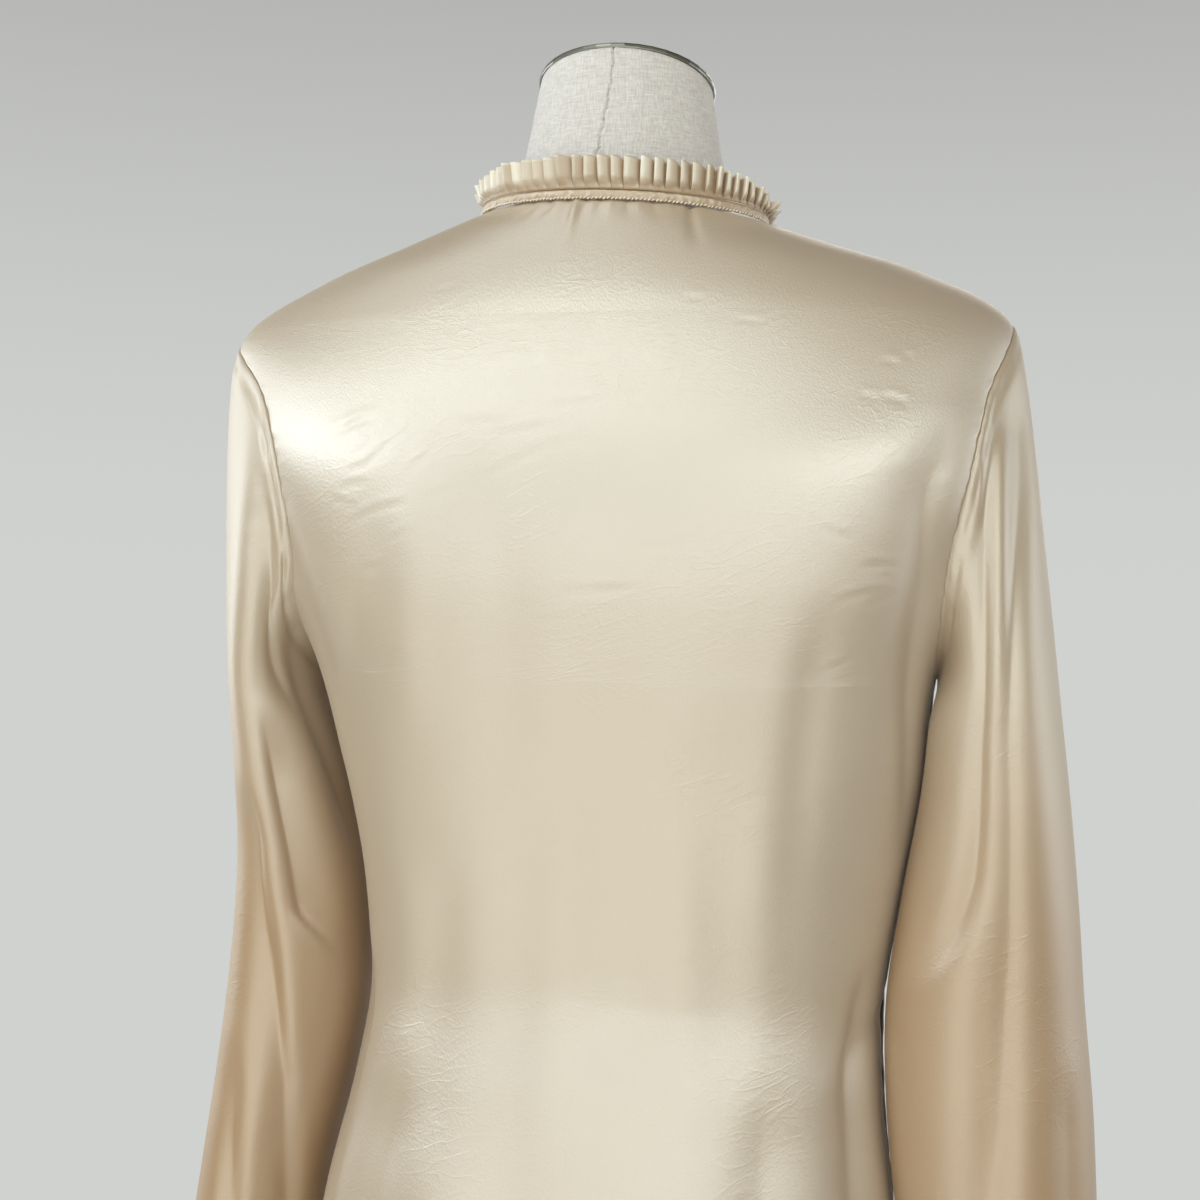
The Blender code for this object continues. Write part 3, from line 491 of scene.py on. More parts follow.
# %% Creases: short pressed lines across the cloth
BACK_CREASES = (  # x and z of both ends, bow, half width, depth
    (129, -125, 101, -116, 1, 1.8, 0.8), (111, -134, 96, -129, 1, 1.6, 0.5), (105, -139, 91, -128, 0, 1.7, 0.7),
    (115, -142, 98, -137, -1, 1.5, 0.5), (80, -141, 71, -134, 0, 1.5, 0.5), (111, -169, 80, -159, 2, 1.7, 0.6),
    (47, -149, -10, -122, 2, 1.7, 0.55), (4, -110, -18, -107, 0, 1.5, 0.4), (59, -120, 30, -120, 1, 2.6, 0.45),
    (79, -49, 68, -46, 0, 1.5, 0.4), (37, -72, 32, -69, 0, 1.5, 0.3), (-50, -54, -60, -56, 0, 1.6, 0.45),
    (-77, -66, -89, -68, 0, 1.6, 0.45), (-146, -86, -155, -88, 1, 1.6, 0.5), (-157, -82, -161, -84, 0, 1.5, 0.4),
    (-137, -103, -146, -105, 0, 1.5, 0.5), (-147, -104, -160, -107, 1, 1.6, 0.6), (-44, -152, -76, -141, 1, 1.6, 0.6),
    (-114, -142, -123, -141, 0, 1.5, 0.4), (-121, -168, -136, -173, 0, 1.7, 0.6), (-30, -177, -71, -168, -5, 1.7, 0.6),
    (-140, -186, -161, -186, 1, 1.6, 0.6), (-148, -190, -161, -192, 0, 1.5, 0.4), (-129, -203, -159, -196, 1, 1.7, 0.6),
    (-141, -205, -160, -197, 0, 1.6, 0.5), (104, -192, 93, -190, 0, 1.6, 0.5), (105, -201, 97, -199, 0, 1.5, 0.4),
    (54, -219, 47, -213, 0, 1.6, 0.5), (45, -270, 34, -262, 0, 1.7, 0.55), (44, -234, 38, -228, 0, 1.5, 0.4),
    (11, -183, -8, -176, 1, 1.6, 0.4), (0, -203, -34, -199, 1, 2.0, 0.6), (11, -217, -25, -208, 1, 1.6, 0.5),
    (4, -224, -12, -217, 0, 1.5, 0.4), (-13, -252, -28, -246, 0, 1.6, 0.5), (20, -257, 4, -259, 1, 1.5, 0.4),
    (-6, -277, -20, -278, 0, 1.5, 0.4), (39, -299, 33, -296, 0, 1.5, 0.4), (-71, -248, -80, -248, 0, 1.5, 0.4),
    (-125, -235, -137, -230, 0, 1.6, 0.5), (-155, -242, -164, -242, 0, 1.5, 0.4), (-144, -259, -162, -253, 1, 1.7, 0.6),
    (-84, -295, -149, -287, -7, 1.9, 0.8), (-69, -315, -134, -300, -5, 1.9, 0.8), (-23, -351, -37, -361, 0, 1.6, 0.5),
    (-41, -349, -61, -366, 1, 1.6, 0.5), (-46, -363, -66, -373, 0, 1.6, 0.5), (-37, -373, -54, -379, 0, 1.5, 0.4),
    (70, -156, 56, -150, 0, 1.5, 0.4), (31, -167, 17, -158, 0, 1.5, 0.4), (90, -178, 78, -172, 0, 1.5, 0.4),
    (2, -380, -66, -385, 2, 3.5, 0.5), (-17, -397, -85, -400, -2, 3.5, 0.5),
    (120, -125, 106, -114, 1, 1.6, 0.5), (118, -152, 103, -149, 1, 1.6, 0.5), (123, -157, 108, -161, 0, 1.5, 0.4),
    (46, -124, 11, -119, -2, 1.8, 0.45), (13, -112, 0, -108, 0, 1.5, 0.35), (44, -164, 34, -158, 0, 1.5, 0.4),
)
BACK_WAVES = (  # the same, for broad and shallow waves; a negative depth is a rise
    (79, -150, 80, -270, 0, 13.0, -0.8), (-100, -300, -106, -500, 0, 24.0, -1.6),
    (104, -260, 105, -500, 0, 22.0, -1.6), (-125, -205, -112, -350, 3, 9.0, 0.9),
    (-109, -330, -111, -440, 0, 11.0, 0.6), (38, -130, 26, -300, 3, 15.0, 0.8), (-30, -230, -34, -420, -3, 15.0, 0.9),
    (-153, -402, -138, -448, 2, 5.0, 1.6), (118, -300, 104, -470, 4, 11.0, 1.4), (60, -330, 66, -470, 0, 13.0, 0.9),
    (0, -300, 4, -470, 0, 12.0, -0.8), (110, -200, 116, -300, 0, 9.0, 0.9), (-60, -310, -64, -470, 0, 12.0, -0.7),
)


def creases(table, u, v):
    """Each crease is a trough along a bowed line, with a lower ridge beside it, soft at both ends."""
    relief = np.zeros(u.shape)
    for u0, v0, u1, v1, bow, half_width, depth in table:
        length = math.hypot(u1 - u0, v1 - v0)
        du, dv = (u1 - u0) / length, (v1 - v0) / length
        along = ((u - u0) * du + (v - v0) * dv) / length
        away = (v - v0) * du - (u - u0) * dv
        away = (away * np.sign(du) if du else away) - bow * 4 * along * (1 - along)
        fade = soft_step((along + 0.1) / 0.35) * soft_step((1.1 - along) / 0.35)
        ridge = bell(away - 1.7 * half_width, 1.3 * half_width)
        relief += fade * depth * (0.65 * ridge - bell(away, half_width))
    return relief


# %% The body's outer face
BUST_X, BUST_Z, BUST_REACH, BUST_RISE = 82.0, -238.0, 46.0, 9.0


def body_point(level, turn, lift=0.0):
    """The oval surface moved along its normal by the folds, the bust and any lift given."""
    level, turn = together(level, turn)
    point = body_oval(level, turn)
    x, z = point[..., 0], point[..., 2]
    bust = bell(np.abs(x) - BUST_X, BUST_REACH) * bell(z - BUST_Z, BUST_REACH) * (np.abs(turn) > 90)
    relief = folds(BODY_FOLDS, turn, z) + BUST_RISE * bust + lift
    return point + outward_of(body_oval, level, turn) * relief[..., None]


# %% Where the panels end
ARMHOLE_CUT = {"back": (27.0, 44.0), "front": (20.0, 20.0)}  # degrees, on the right and on the left
LAP, LAP_EASE, LAP_RISE = 14.0, 9.0, 2.0


def armhole_shape(q):
    """Half an ellipse over the armhole's height, 0 at the tip, drawn in softly at both ends."""
    return (2 * np.sqrt(q * (1 - q))) ** (1.0 + 0.7 * soft_step((q - 0.5) / 0.5) + 0.5 * soft_step((0.3 - q) / 0.3))


def armhole_cut(level, panel, sign):
    """How many degrees short of the side a panel ends."""
    q = np.clip((SHOULDER_TIP - level) / (SHOULDER_TIP - UNDERARM), 0.0, 1.0)
    return ARMHOLE_CUT[panel][sign > 0] * armhole_shape(q)


def seam_share(level, distance, reach):
    """The angle short of the side at which a ring is this far from the side seam."""
    depth = np.abs(row_value(reach, level) - row_value("y_side", level))
    return np.degrees(np.arcsin((distance / depth) ** (row_value("square", level) / 2)))


def front_turn(level, distance):
    """The angle past the side at which a ring is this far from centre front."""
    share = (distance / row_value("half_width", level)) ** (row_value("square", level) / 2)
    return 180.0 - np.degrees(np.arcsin(share))


def lap_lift(level, turn):
    """The right front rises over the left one near centre front."""
    from_centre = body_oval(level, turn)[..., 0] - row_value("shift", level)
    return LAP_RISE * soft_step((from_centre + LAP + LAP_EASE) / LAP_EASE) * (turn < -90)


def panel_levels(below, beside, above):
    """Rows from hem to neckline: even below and above the armhole, closer at both its ends."""
    swing = np.linspace(np.pi, 0.0, beside + 1)
    even = np.linspace(0.0, 1.0, beside + 1)
    armhole = UNDERARM + (SHOULDER_TIP - UNDERARM) * (0.6 * even + 0.4 * (1 + np.cos(swing)) / 2)
    return np.concatenate((
        np.linspace(HEM, UNDERARM, below + 1)[:-1], armhole, np.linspace(SHOULDER_TIP, NECKLINE, above + 1)[1:],
    ))


def to_metres(points):
    return (points + (0.0, 0.0, NECK_SEAM_HEIGHT)) * MM


def lengths(steps, axis):
    """Distances summed along a grid from its first point."""
    run = np.cumsum(np.linalg.norm(steps, axis=-1), axis=axis)
    return np.concatenate((np.zeros_like(run.take([0], axis=axis)), run), axis=axis)


def mesh_piece(name, points, faces, finish):
    """A mesh from points in millimetres, riding on the part's one body."""
    mesh = bpy.data.meshes.new(name)
    mesh.from_pydata(to_metres(points), [], faces)
    mesh.shade_smooth()
    mesh.materials.append(finish)
    made = bpy.data.objects.new(name, mesh)
    bpy.context.scene.collection.objects.link(made)
    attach(made, "root")
    return made


def joined_fours(rows, columns, closed):
    """Faces of a grid, each between four neighbours; a closed grid's last column meets its first."""
    row = np.arange(rows - 1)[:, None] * columns
    column = np.arange(columns if closed else columns - 1)
    after = (column + 1) % columns
    corners = (row + column, row + after, row + columns + after, row + columns + column)
    return np.stack(corners, axis=-1).reshape(-1, 4).tolist()


def cloth_piece(name, grid, finish, replaced, closed=False, wall=SILK):
    """A grid of points as smooth cloth, its outer face on the grid and its wall inside it.

    The UV map "cloth" holds real lengths in metres: u is the run along a row from its middle, v the
    run along the middle column.
    """
    rows, columns = grid.shape[:2]
    faces = joined_fours(rows, columns, closed)
    made = mesh_piece(name, grid.reshape(-1, 3), faces, finish)
    ends = np.concatenate((grid, grid[:, :1]), axis=1) if closed else grid
    u = lengths(np.diff(ends, axis=1), 1)
    u = (u - u[:, u.shape[1] // 2][:, None]) * MM
    v = lengths(np.diff(ends[:, ends.shape[1] // 2], axis=0), 0) * MM
    u_corner = np.stack((u[:-1, :-1], u[:-1, 1:], u[1:, 1:], u[1:, :-1]), axis=-1)
    v_corner = np.stack((v[:-1], v[:-1], v[1:], v[1:]), axis=-1)[:, None, :] + 0 * u_corner
    uv = np.stack((u_corner, v_corner), axis=-1)
    made.data.uv_layers.new(name="cloth").data.foreach_set("uv", uv.ravel())
    thick = made.modifiers.new("wall", "SOLIDIFY")
    thick.thickness = wall * MM
    thick.offset = -1.0
    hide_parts(replaced)
    across = np.cross(grid[1:, :-1] - grid[:-1, :-1], grid[:-1, 1:] - grid[:-1, :-1])
    area = float(np.linalg.norm(across, axis=-1).sum()) * MM * MM
    print(name, "area", round(area, 4), "m2,", 4 * len(faces) + 4 * (rows + columns), "triangles")
    return made


# %% Sewing threads
def at_run(path, run, place):
    """A path's points at given distances along it."""
    return np.stack([np.interp(place, run, path[:, axis]) for axis in range(3)], axis=-1)


def tubes(rings):
    """Faces of closed tubes whose points are (tube, ring, point round it): quads, and a cap at each end."""
    count, steps, around = rings.shape[:3]
    tube = np.arange(count)[:, None, None] * steps * around
    ring = np.arange(steps - 1)[None, :, None] * around
    here, after = np.arange(around), (np.arange(around) + 1) % around
    quads = np.stack((
        tube + ring + here, tube + ring + after, tube + ring + around + after, tube + ring + around + here,
    ), axis=-1).reshape(-1, 4)
    first = (tube[:, 0] + here[::-1]).tolist()
    last = (tube[:, 0] + (steps - 1) * around + here).tolist()
    return quads.tolist() + first + last


def stitches(name, path, outward, finish, pitch, share=0.72, radius=0.2, slant=0.0):
    """A row of stitches along a path: each is a thin tube that bows out of the cloth and dips in at both ends.

    The tube's middle is at out = radius * (1 - 2.2 t * t) for t from -1 to 1 along it, and its
    thickness shrinks towards the ends. A slant turns each stitch about the outward direction.
    """
    run = lengths(np.diff(path, axis=0), 0)
    place = np.arange(0.5 * pitch, run[-1] - 0.5 * pitch, pitch)
    out = unit(at_run(outward, run, place))
    ahead = unit(at_run(path, run, place + 0.5) - at_run(path, run, place - 0.5))
    across = np.cross(out, ahead)
    ahead = ahead * math.cos(math.radians(slant)) + across * math.sin(math.radians(slant))
    across = np.cross(out, ahead)
    t = np.linspace(-1.0, 1.0, 5)[None, :, None]
    middle = at_run(path, run, place)[:, None, :] + ahead[:, None, :] * t * pitch * share / 2
    middle = middle + out[:, None, :] * radius * (1 - 2.2 * t * t)
    angle = evenly_round(6)
    size = (radius * np.sqrt(1.04 - t * t))[..., None]
    rings = middle[:, :, None, :] + size * (
        np.cos(angle)[:, None] * out[:, None, None, :] + np.sin(angle)[:, None] * across[:, None, None, :]
    )
    mesh_piece(name, rings.reshape(-1, 3), tubes(rings), finish)
    print(name, len(place), "stitches")


def on_body(level, turn, lift=0.0):
    """A path on the blouse and its outward directions, for sewing along it."""
    level, turn = together(level, turn)

    def lifted(level, turn):
        return body_point(level, turn, lift)

    return lifted(level, turn), outward_of(lifted, level, turn, 0.3)


# %% [markdown]
# ## The back
# One piece from hem to neck seam, gathered a little into the band at centre back. Its armhole edges
# are cut as half ovals, drawn in softly at both ends. The rows lie closest beside the armholes, above
# all at their two ends, where the seam turns fastest and most of the fine creases are near.

# %% Back
GATHERS = (  # x, half width, depth, length: uneven, as a hand-gathered row is; a negative depth is a ridge
    (36, 1.8, 0.5, 6), (31, 1.5, -0.4, 5), (27, 1.6, 0.6, 7), (22, 1.5, -0.5, 5), (17, 1.5, 0.6, 7),
    (12, 1.2, -1.7, 17), (7, 1.5, 0.7, 6), (0, 1.6, 0.6, 7), (-6, 1.4, -0.5, 6), (-14, 1.7, 0.7, 7),
    (-20, 1.5, -0.4, 5), (-27, 1.5, 0.6, 7), (-34, 1.6, -0.5, 6), (-45, 1.7, 2.0, 17), (-51, 1.6, -0.2, 7),
    (-58, 1.8, 0.6, 7), (46, 2.0, 0.5, 6), (54, 2.0, 0.4, 5),
)


def gathers(x, z):
    """Each gather is a trough down from the neck seam that spreads and fades as it goes."""
    relief = np.zeros(x.shape)
    below = np.clip(-z - 2.0, 0.0, None)
    for middle, half_width, depth, length in GATHERS:
        spread = half_width * (1 + below / length)
        away = x - middle * (1 + 0.12 * below / length)
        relief -= 0.9 * depth * bell(away, spread) * bell(below, length)
    return relief


def uneven(place, lengths_of_waves, seed):
    """Waves of the given lengths added with chance starts: from -1 to 1 at most, and never regular."""
    starts = np.random.default_rng(seed).uniform(0.0, 2 * np.pi, len(lengths_of_waves))
    waves = [np.sin(2 * np.pi * place / step + start) for step, start in zip(lengths_of_waves, starts)]
    return sum(waves) / len(waves)


def seam_puckers(distance, place, seed, depth=0.5, reach=6.0):
    """Cloth beside a sewn seam ripples along the seam and lies flat again some millimetres away."""
    return depth * uneven(place, (7.9, 11.7, 17.0, 26.0), seed) * bell(distance, reach)


HEM_TURNED = 9.0
HEM_STITCH_LEVEL = np.full(400, HEM + (HEM_TURNED - 1.2) / 60.0)
ON_CLOTH, STITCH_PITCH = 0.25, 2.6


def hem_fold(z):
    """The turned-up hem is two layers thicker, with a small step at its stitched upper edge."""
    above_hem = z + HEM_DROP
    return 0.4 * soft_step((HEM_TURNED - above_hem) / 1.5) - 0.25 * bell(above_hem - HEM_TURNED, 1.6)


def seam_roll(distance, depth=0.45, width=3.0):
    """Cloth turns in where it is sewn: a rounded drop over the last few millimetres."""
    return -depth * np.clip(1 - distance / width, 0.0, 1.0) ** 2


def edge_relief(degrees, level, place, z, seed):
    """What every panel has at its edges: rolled and rippled seams some degrees away, and the hem."""
    distance = degrees * row_value("half_width", level) * np.pi / 180
    return seam_roll(distance) + seam_puckers(distance, place, seed) + hem_fold(z)


levels = panel_levels(below=74, beside=104, above=44)
right_edge, left_side = (
    90.0 - armhole_cut(levels, "back", sign)[:, None] - seam_share(levels, SEAM_GAP, "y_back")[:, None]
    for sign in (-1, 1)
)
turn = left_side + (-right_edge - left_side) * np.linspace(0.0, 1.0, 210)
level = np.broadcast_to(levels[:, None], turn.shape)
x, _, z = np.moveaxis(body_oval(level, turn), -1, 0)
lift = 0.42 * creases(BACK_CREASES, x, z) + creases(BACK_WAVES, x, z) + gathers(x, z)
lift = lift + edge_relief(np.minimum(left_side - turn, turn + right_edge), level, z + 400.0 * (turn > 0), z, 3)
cloth_piece("silk_back", body_point(level, turn, lift), satin, "back")
hem_turn = np.linspace(88.5, -88.5, 400)
stitches("hem_stitches_back", *on_body(HEM_STITCH_LEVEL, hem_turn, ON_CLOTH), thread, STITCH_PITCH)

# %% [markdown]
# ## The fronts
# Each front ends in a folded facing: the cloth is turned in twice at the edge and stitched down, and
# the right facing carries the buttonholes. The fronts hang softer than the back, so their creases
# are fewer and longer. The facing's edge is drawn as a small step in the same surface.

# %% Fronts
FRONT_CREASES = (  # as BACK_CREASES, on the wearer's left; the right front takes them the other way round
    (150, -170, 118, -206, 3, 4.0, 1.1), (146, -190, 122, -232, 3, 3.5, 0.9), (128, -150, 108, -176, 2, 3.0, 0.7),
    (60, -150, 84, -196, -3, 4.5, 0.8), (44, -262, 90, -292, 4, 4.0, 0.7), (60, -300, 120, -322, -4, 5.0, 0.9),
    (36, -110, 52, -150, 2, 2.5, 0.5), (96, -398, 128, -414, 2, 2.4, 0.6), (40, -420, 86, -436, -2, 2.2, 0.5),
    (70, -500, 104, -520, 2, 2.2, 0.45), (30, -540, 58, -556, 1, 2.0, 0.4), (110, -96, 134, -112, 1, 1.8, 0.5),
    (26, -196, 38, -236, 1, 2.4, 0.45), (88, -92, 96, -108, 0, 1.8, 0.4), (122, -450, 140, -470, 1, 2.0, 0.5),
)
FACING = 26.0


def facing_step(x):
    """The facing behind the front's edge shows as a ridge where its inner edge is stitched down."""
    return 0.3 * soft_step((FACING - np.abs(x)) / 1.5) - 0.22 * bell(np.abs(x) - FACING, 1.4)


for side, sign in SIDES:
    levels = panel_levels(below=56, beside=68, above=34)
    start = 90.0 + armhole_cut(levels, "front", sign) + seam_share(levels, SEAM_GAP, "y_front")
    fold = front_turn(levels, LAP + LAP_EASE)
    inner = start[:, None] + (fold - start)[:, None] * np.linspace(0.0, 1.0, 104)
    lap = 180.0 - front_turn(levels, LAP)
    turn = np.hstack((inner, 180.0 + lap[:, None] * np.linspace(-1.0, 1.0, 34)))
    turn = turn[:, ::-1] if side == "left" else -turn
    level = np.broadcast_to(levels[:, None], turn.shape)
    x, _, z = np.moveaxis(body_oval(level, turn), -1, 0)
    wider, lower = (1.0, 0.0) if side == "left" else (0.97, 7.0)  # so that the two sides aren't mirrored
    lift = creases(FRONT_CREASES, x * sign * wider, z - lower)
    lift = lift + edge_relief(np.abs(turn) - start[:, None], level, z, z, 13 + sign)
    lift = lift + seam_puckers((NECKLINE - level) * 40.0, x * sign, 17 + sign, reach=12.0)
    lift = lift + facing_step(x - row_value("shift", level)) + lap_lift(level, turn)
    cloth_piece("silk_front_" + side, body_point(level, turn, lift), satin, "front_" + side)

# %% Stitches of the fronts
for side, sign in SIDES:
    levels = np.linspace(HEM + 0.1, NECKLINE - 0.1, 900)
    lift = ON_CLOTH + (LAP_RISE if side == "right" else 0.0)
    path = on_body(levels, sign * front_turn(levels, FACING - 1.6), lift)
    stitches("facing_stitches_" + side, *path, thread, STITCH_PITCH)
    hem = np.array([HEM])
    last = front_turn(hem, LAP + 4.0)[0] if side == "left" else 360.0 - front_turn(hem, LAP - 0.8)[0]
    hem_turn = np.linspace(91.5, last, 400)
    lift = ON_CLOTH + lap_lift(HEM_STITCH_LEVEL, sign * hem_turn)
    lift = np.where(hem_turn > 180.0, LAP_RISE + ON_CLOTH, lift)
    hem_turn = np.where(hem_turn > 180.0, 360.0 - hem_turn, sign * hem_turn)
    stitches("hem_stitches_" + side, *on_body(HEM_STITCH_LEVEL, hem_turn, lift), thread, STITCH_PITCH)

# %% [markdown]
# ## Buttons
# Four-hole shell buttons are turned on a lathe: a raised rim, a dished middle and four drilled holes.
# A lathe profile carried round its axis gives the whole button; the holes are pressed into the same
# grid as steep round pits, which look drilled at this size. Two threads cross from hole to hole, and
# a worked buttonhole shows at both ends under the button.

# %% Buttons, their threads and buttonholes
BUTTON_PROFILE = np.array((  # radius and height, from the middle of the underside over the rim to the middle
    (0.05, 0.0), (2.0, 0.0), (3.8, 0.05), (4.7, 0.35), (5.1, 0.85), (5.2, 1.3), (5.05, 1.8), (4.7, 2.1), (4.3, 2.2),
    (3.9, 2.1), (3.6, 1.85), (3.35, 1.65), (3.1, 1.55), (2.85, 1.5), (2.6, 1.46), (2.35, 1.43), (2.1, 1.41),
    (1.85, 1.4), (1.6, 1.38), (1.35, 1.37), (1.1, 1.36), (0.85, 1.35), (0.6, 1.35), (0.35, 1.35), (0.1, 1.35),
))
HOLE_AT, HOLE_RADIUS = 1.15, 0.62
RIM_POINT = 8  # of the profile; only points after it are pressed in for the holes


def closed_rings(rows, columns):
    """Faces of a closed body made of rings, with a fan of triangles over its first and last ring."""
    ring = np.arange(columns)
    after = (ring + 1) % columns
    foot, top, last = rows * columns, rows * columns + 1, (rows - 1) * columns
    first_fan = np.stack((np.full(columns, foot), after, ring), axis=-1)
    last_fan = np.stack((np.full(columns, top), last + ring, last + after), axis=-1)
    return joined_fours(rows, columns, True) + first_fan.tolist() + last_fan.tolist()


def with_ends(grid):
    """A closed grid's points and the middles of its first and last ring."""
    return np.concatenate((grid.reshape(-1, 3), grid[:1].mean(axis=1), grid[-1:].mean(axis=1)))


def frame_on(outward, upward=(0.0, 0.0, 1.0)):
    """Two directions across an outward one: the first points to the side, the second upward."""
    side = unit(np.cross(upward, outward))
    return side, np.cross(outward, side)


def shell_button(name, spot, outward, replaced):
    """The profile turned about the outward direction, with four pits for the holes."""
    side, upwards = frame_on(outward)
    angle = evenly_round(60)
    radius, height = BUTTON_PROFILE[:, :1], BUTTON_PROFILE[:, 1:]
    a, b = radius * np.cos(angle), radius * np.sin(angle)
    from_hole = np.hypot(np.abs(a) - HOLE_AT, np.abs(b) - HOLE_AT)
    upper = np.arange(len(BUTTON_PROFILE))[:, None] > RIM_POINT
    height = height - 1.1 * soft_step((HOLE_RADIUS + 0.15 - from_hole) / 0.3) * upper
    grid = spot + a[..., None] * side + b[..., None] * upwards + height[..., None] * outward
    made = mesh_piece(name, with_ends(grid), closed_rings(*grid.shape[:2]), shell)
    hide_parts(replaced)
    t = np.linspace(-1.0, 1.0, 7)[:, None, None]
    row = np.array((-1.0, 1.0))[:, None, None, None]
    round_ = evenly_round(6)[:, None]
    middle = spot + side * t * HOLE_AT + upwards * row * HOLE_AT + outward * (1.72 - 1.0 * t**4)
    rings = middle + 0.24 * (np.cos(round_) * outward + np.sin(round_) * upwards)
    mesh_piece(name + "_thread", rings.reshape(-1, 3), [face[::-1] for face in tubes(rings)], thread)


def buttonhole(name, spot, outward, half_length=6.4, half_width=1.0):
    """A worked buttonhole: a low bar of thread round an upright slit, as a ring with a round section."""
    side, upwards = frame_on(outward)
    around = evenly_round(64)
    way = np.stack((half_width * np.cos(around), half_length * np.sin(around)), axis=-1)
    away = unit(np.stack((np.cos(around) / half_width, np.sin(around) / half_length), axis=-1))
    round_ = evenly_round(8)
    stitch = 1 + 0.14 * np.sin(around * 40)
    reach = 0.5 * stitch[:, None] * np.cos(round_)
    height = 0.1 + 0.38 * stitch[:, None] * np.sin(round_)
    flat = way[:, None, :] + away[:, None, :] * reach[..., None]
    points = spot + flat[..., :1] * side + flat[..., 1:] * upwards + height[..., None] * outward
    i, j = np.arange(64)[:, None] * 8, np.arange(8)[None, :]
    i_next, j_next = (i + 8) % 512, (j + 1) % 8
    faces = np.stack((i + j, i_next + j, i_next + j_next, i + j_next), axis=-1).reshape(-1, 4)
    mesh_piece(name, points.reshape(-1, 3), faces.tolist(), thread)


BUTTON_TOP, BUTTON_PITCH = -92.0, 78.0
levels = np.linspace(HEM, NECKLINE, 600)
centre_line, centre_out = on_body(levels, np.full(600, 180.0), LAP_RISE + 0.3)
order = np.argsort(centre_line[:, 2])
centre_line, centre_out = centre_line[order], centre_out[order]
for number in range(7):
    height = BUTTON_TOP - BUTTON_PITCH * number
    spot = at_run(centre_line, centre_line[:, 2], height)
    outward = unit(at_run(centre_out, centre_line[:, 2], height))
    buttonhole("buttonhole_" + str(number + 1), spot, outward)
    shell_button("shell_button_" + str(number + 1), spot + 0.3 * outward, outward, "button_" + str(number + 1))

# %% Sleeves
SLEEVES = {  # z, x at the inner side, x at the outer side, middle y, half depth, square
    "left": (
        (-258, 151, 198, 4, 68, 2.2), (-300, 138.5, 195, 6, 66, 2.2), (-350, 127.5, 194, 7, 63, 2.2),
        (-400, 123.5, 197, 8, 60, 2.2), (-450, 129, 202, 9, 59, 2.2), (-500, 140, 208, 10, 58, 2.2),
        (-550, 148, 215, 10, 56, 2.2), (-592, 157, 221, 10, 50, 2.1), (-622, 167, 223, 10, 37, 2.0),
    ),
    "right": (
        (-258, 174, 236, 4, 62, 2.2), (-300, 170, 241, 6, 60, 2.2), (-350, 161.5, 246, 7, 58, 2.2),
        (-400, 155, 250, 8, 57, 2.2), (-450, 156, 255, 9, 57, 2.2), (-500, 161.5, 258, 10, 56, 2.2),
        (-550, 169, 261, 10, 55, 2.2), (-592, 178, 262, 10, 49, 2.1), (-622, 194, 254, 10, 37, 2.0),
    ),
}
SLEEVE_FOLDS = {  # as BODY_FOLDS; turn 0 is the outer side, 90 the back, 180 the inner side
    "left": (
        (((-95, 86), (-150, 94), (-171, 98), (-217, 119), (-244, 129), (-275, 142)), 14, 8, 5.0),
        (((-262, 104), (-285, 106), (-330, 110), (-368, 117), (-382, 135), (-400, 152)), 8, 22, 6.5),
        (
            ((-298, 74), (-322, 78), (-352, 79), (-388, 88), (-420, 98), (-455, 114), (-520, 140), (-585, 152)),
            24, 8, 5.5,
        ),
        (((-205, 136), (-266, 152), (-310, 164), (-350, 168)), 10, 10, 4.0),
        (((-430, 62), (-500, 84), (-600, 112)), 13, 10, 3.0),
        (((-150, 250), (-350, 262), (-560, 272)), 13, 15, 6.0), (((-140, 305), (-300, 300), (-470, 296)), 10, 13, 5.0),
        (((-420, 330), (-510, 332), (-600, 340)), 12, 10, 4.0),
    ),
    "right": (
        (((-85, 44), (-104, 61), (-137, 78), (-168, 91), (-200, 99), (-230, 103), (-276, 105), (-335, 103), (-362, 112),
          (-390, 128)), 9, 14, 4.8),
        (((-80, 34), (-103, 41), (-136, 47), (-168, 57), (-199, 68), (-231, 76), (-268, 81), (-370, 79), (-430, 84),
          (-482, 92), (-560, 104)), 11, 15, 3.8),
        (((-226, 148), (-330, 151), (-450, 150), (-600, 146)), 20, 24, -6.0),
        (((-420, 40), (-500, 44), (-600, 52)), 12, 14, 2.5),
        (((-120, 256), (-340, 264), (-560, 270)), 13, 15, 6.0), (((-130, 306), (-300, 300), (-500, 292)), 10, 13, 5.0),
    ),
}


def armhole_ring(sign, turn, lift=0.0):
    """The outline of the armhole on the body: 0 at the shoulder tip, 90 at the back, 180 underneath."""
    sine, cosine = sine_cosine(turn)
    q = (1 - cosine) / 2
    cut = np.where(sine > 0, -ARMHOLE_CUT["back"][sign > 0], ARMHOLE_CUT["front"][sign > 0])
    return body_point(SHOULDER_TIP + (UNDERARM - SHOULDER_TIP) * q, sign * (90.0 + cut * armhole_shape(q)), lift)


def sleeve_section(side, sign, level, turn):
    """A level oval of the sleeve below the underarm."""
    z, inner, outer, y, depth, square = np.moveaxis(between_rows(np.array(SLEEVES[side], float), level), -1, 0)
    sine, cosine = sine_cosine(turn)
    x = (inner + outer) / 2 + (outer - inner) / 2 * flattened(cosine, square)
    return np.stack((sign * x, y + depth * flattened(sine, square), z), axis=-1)


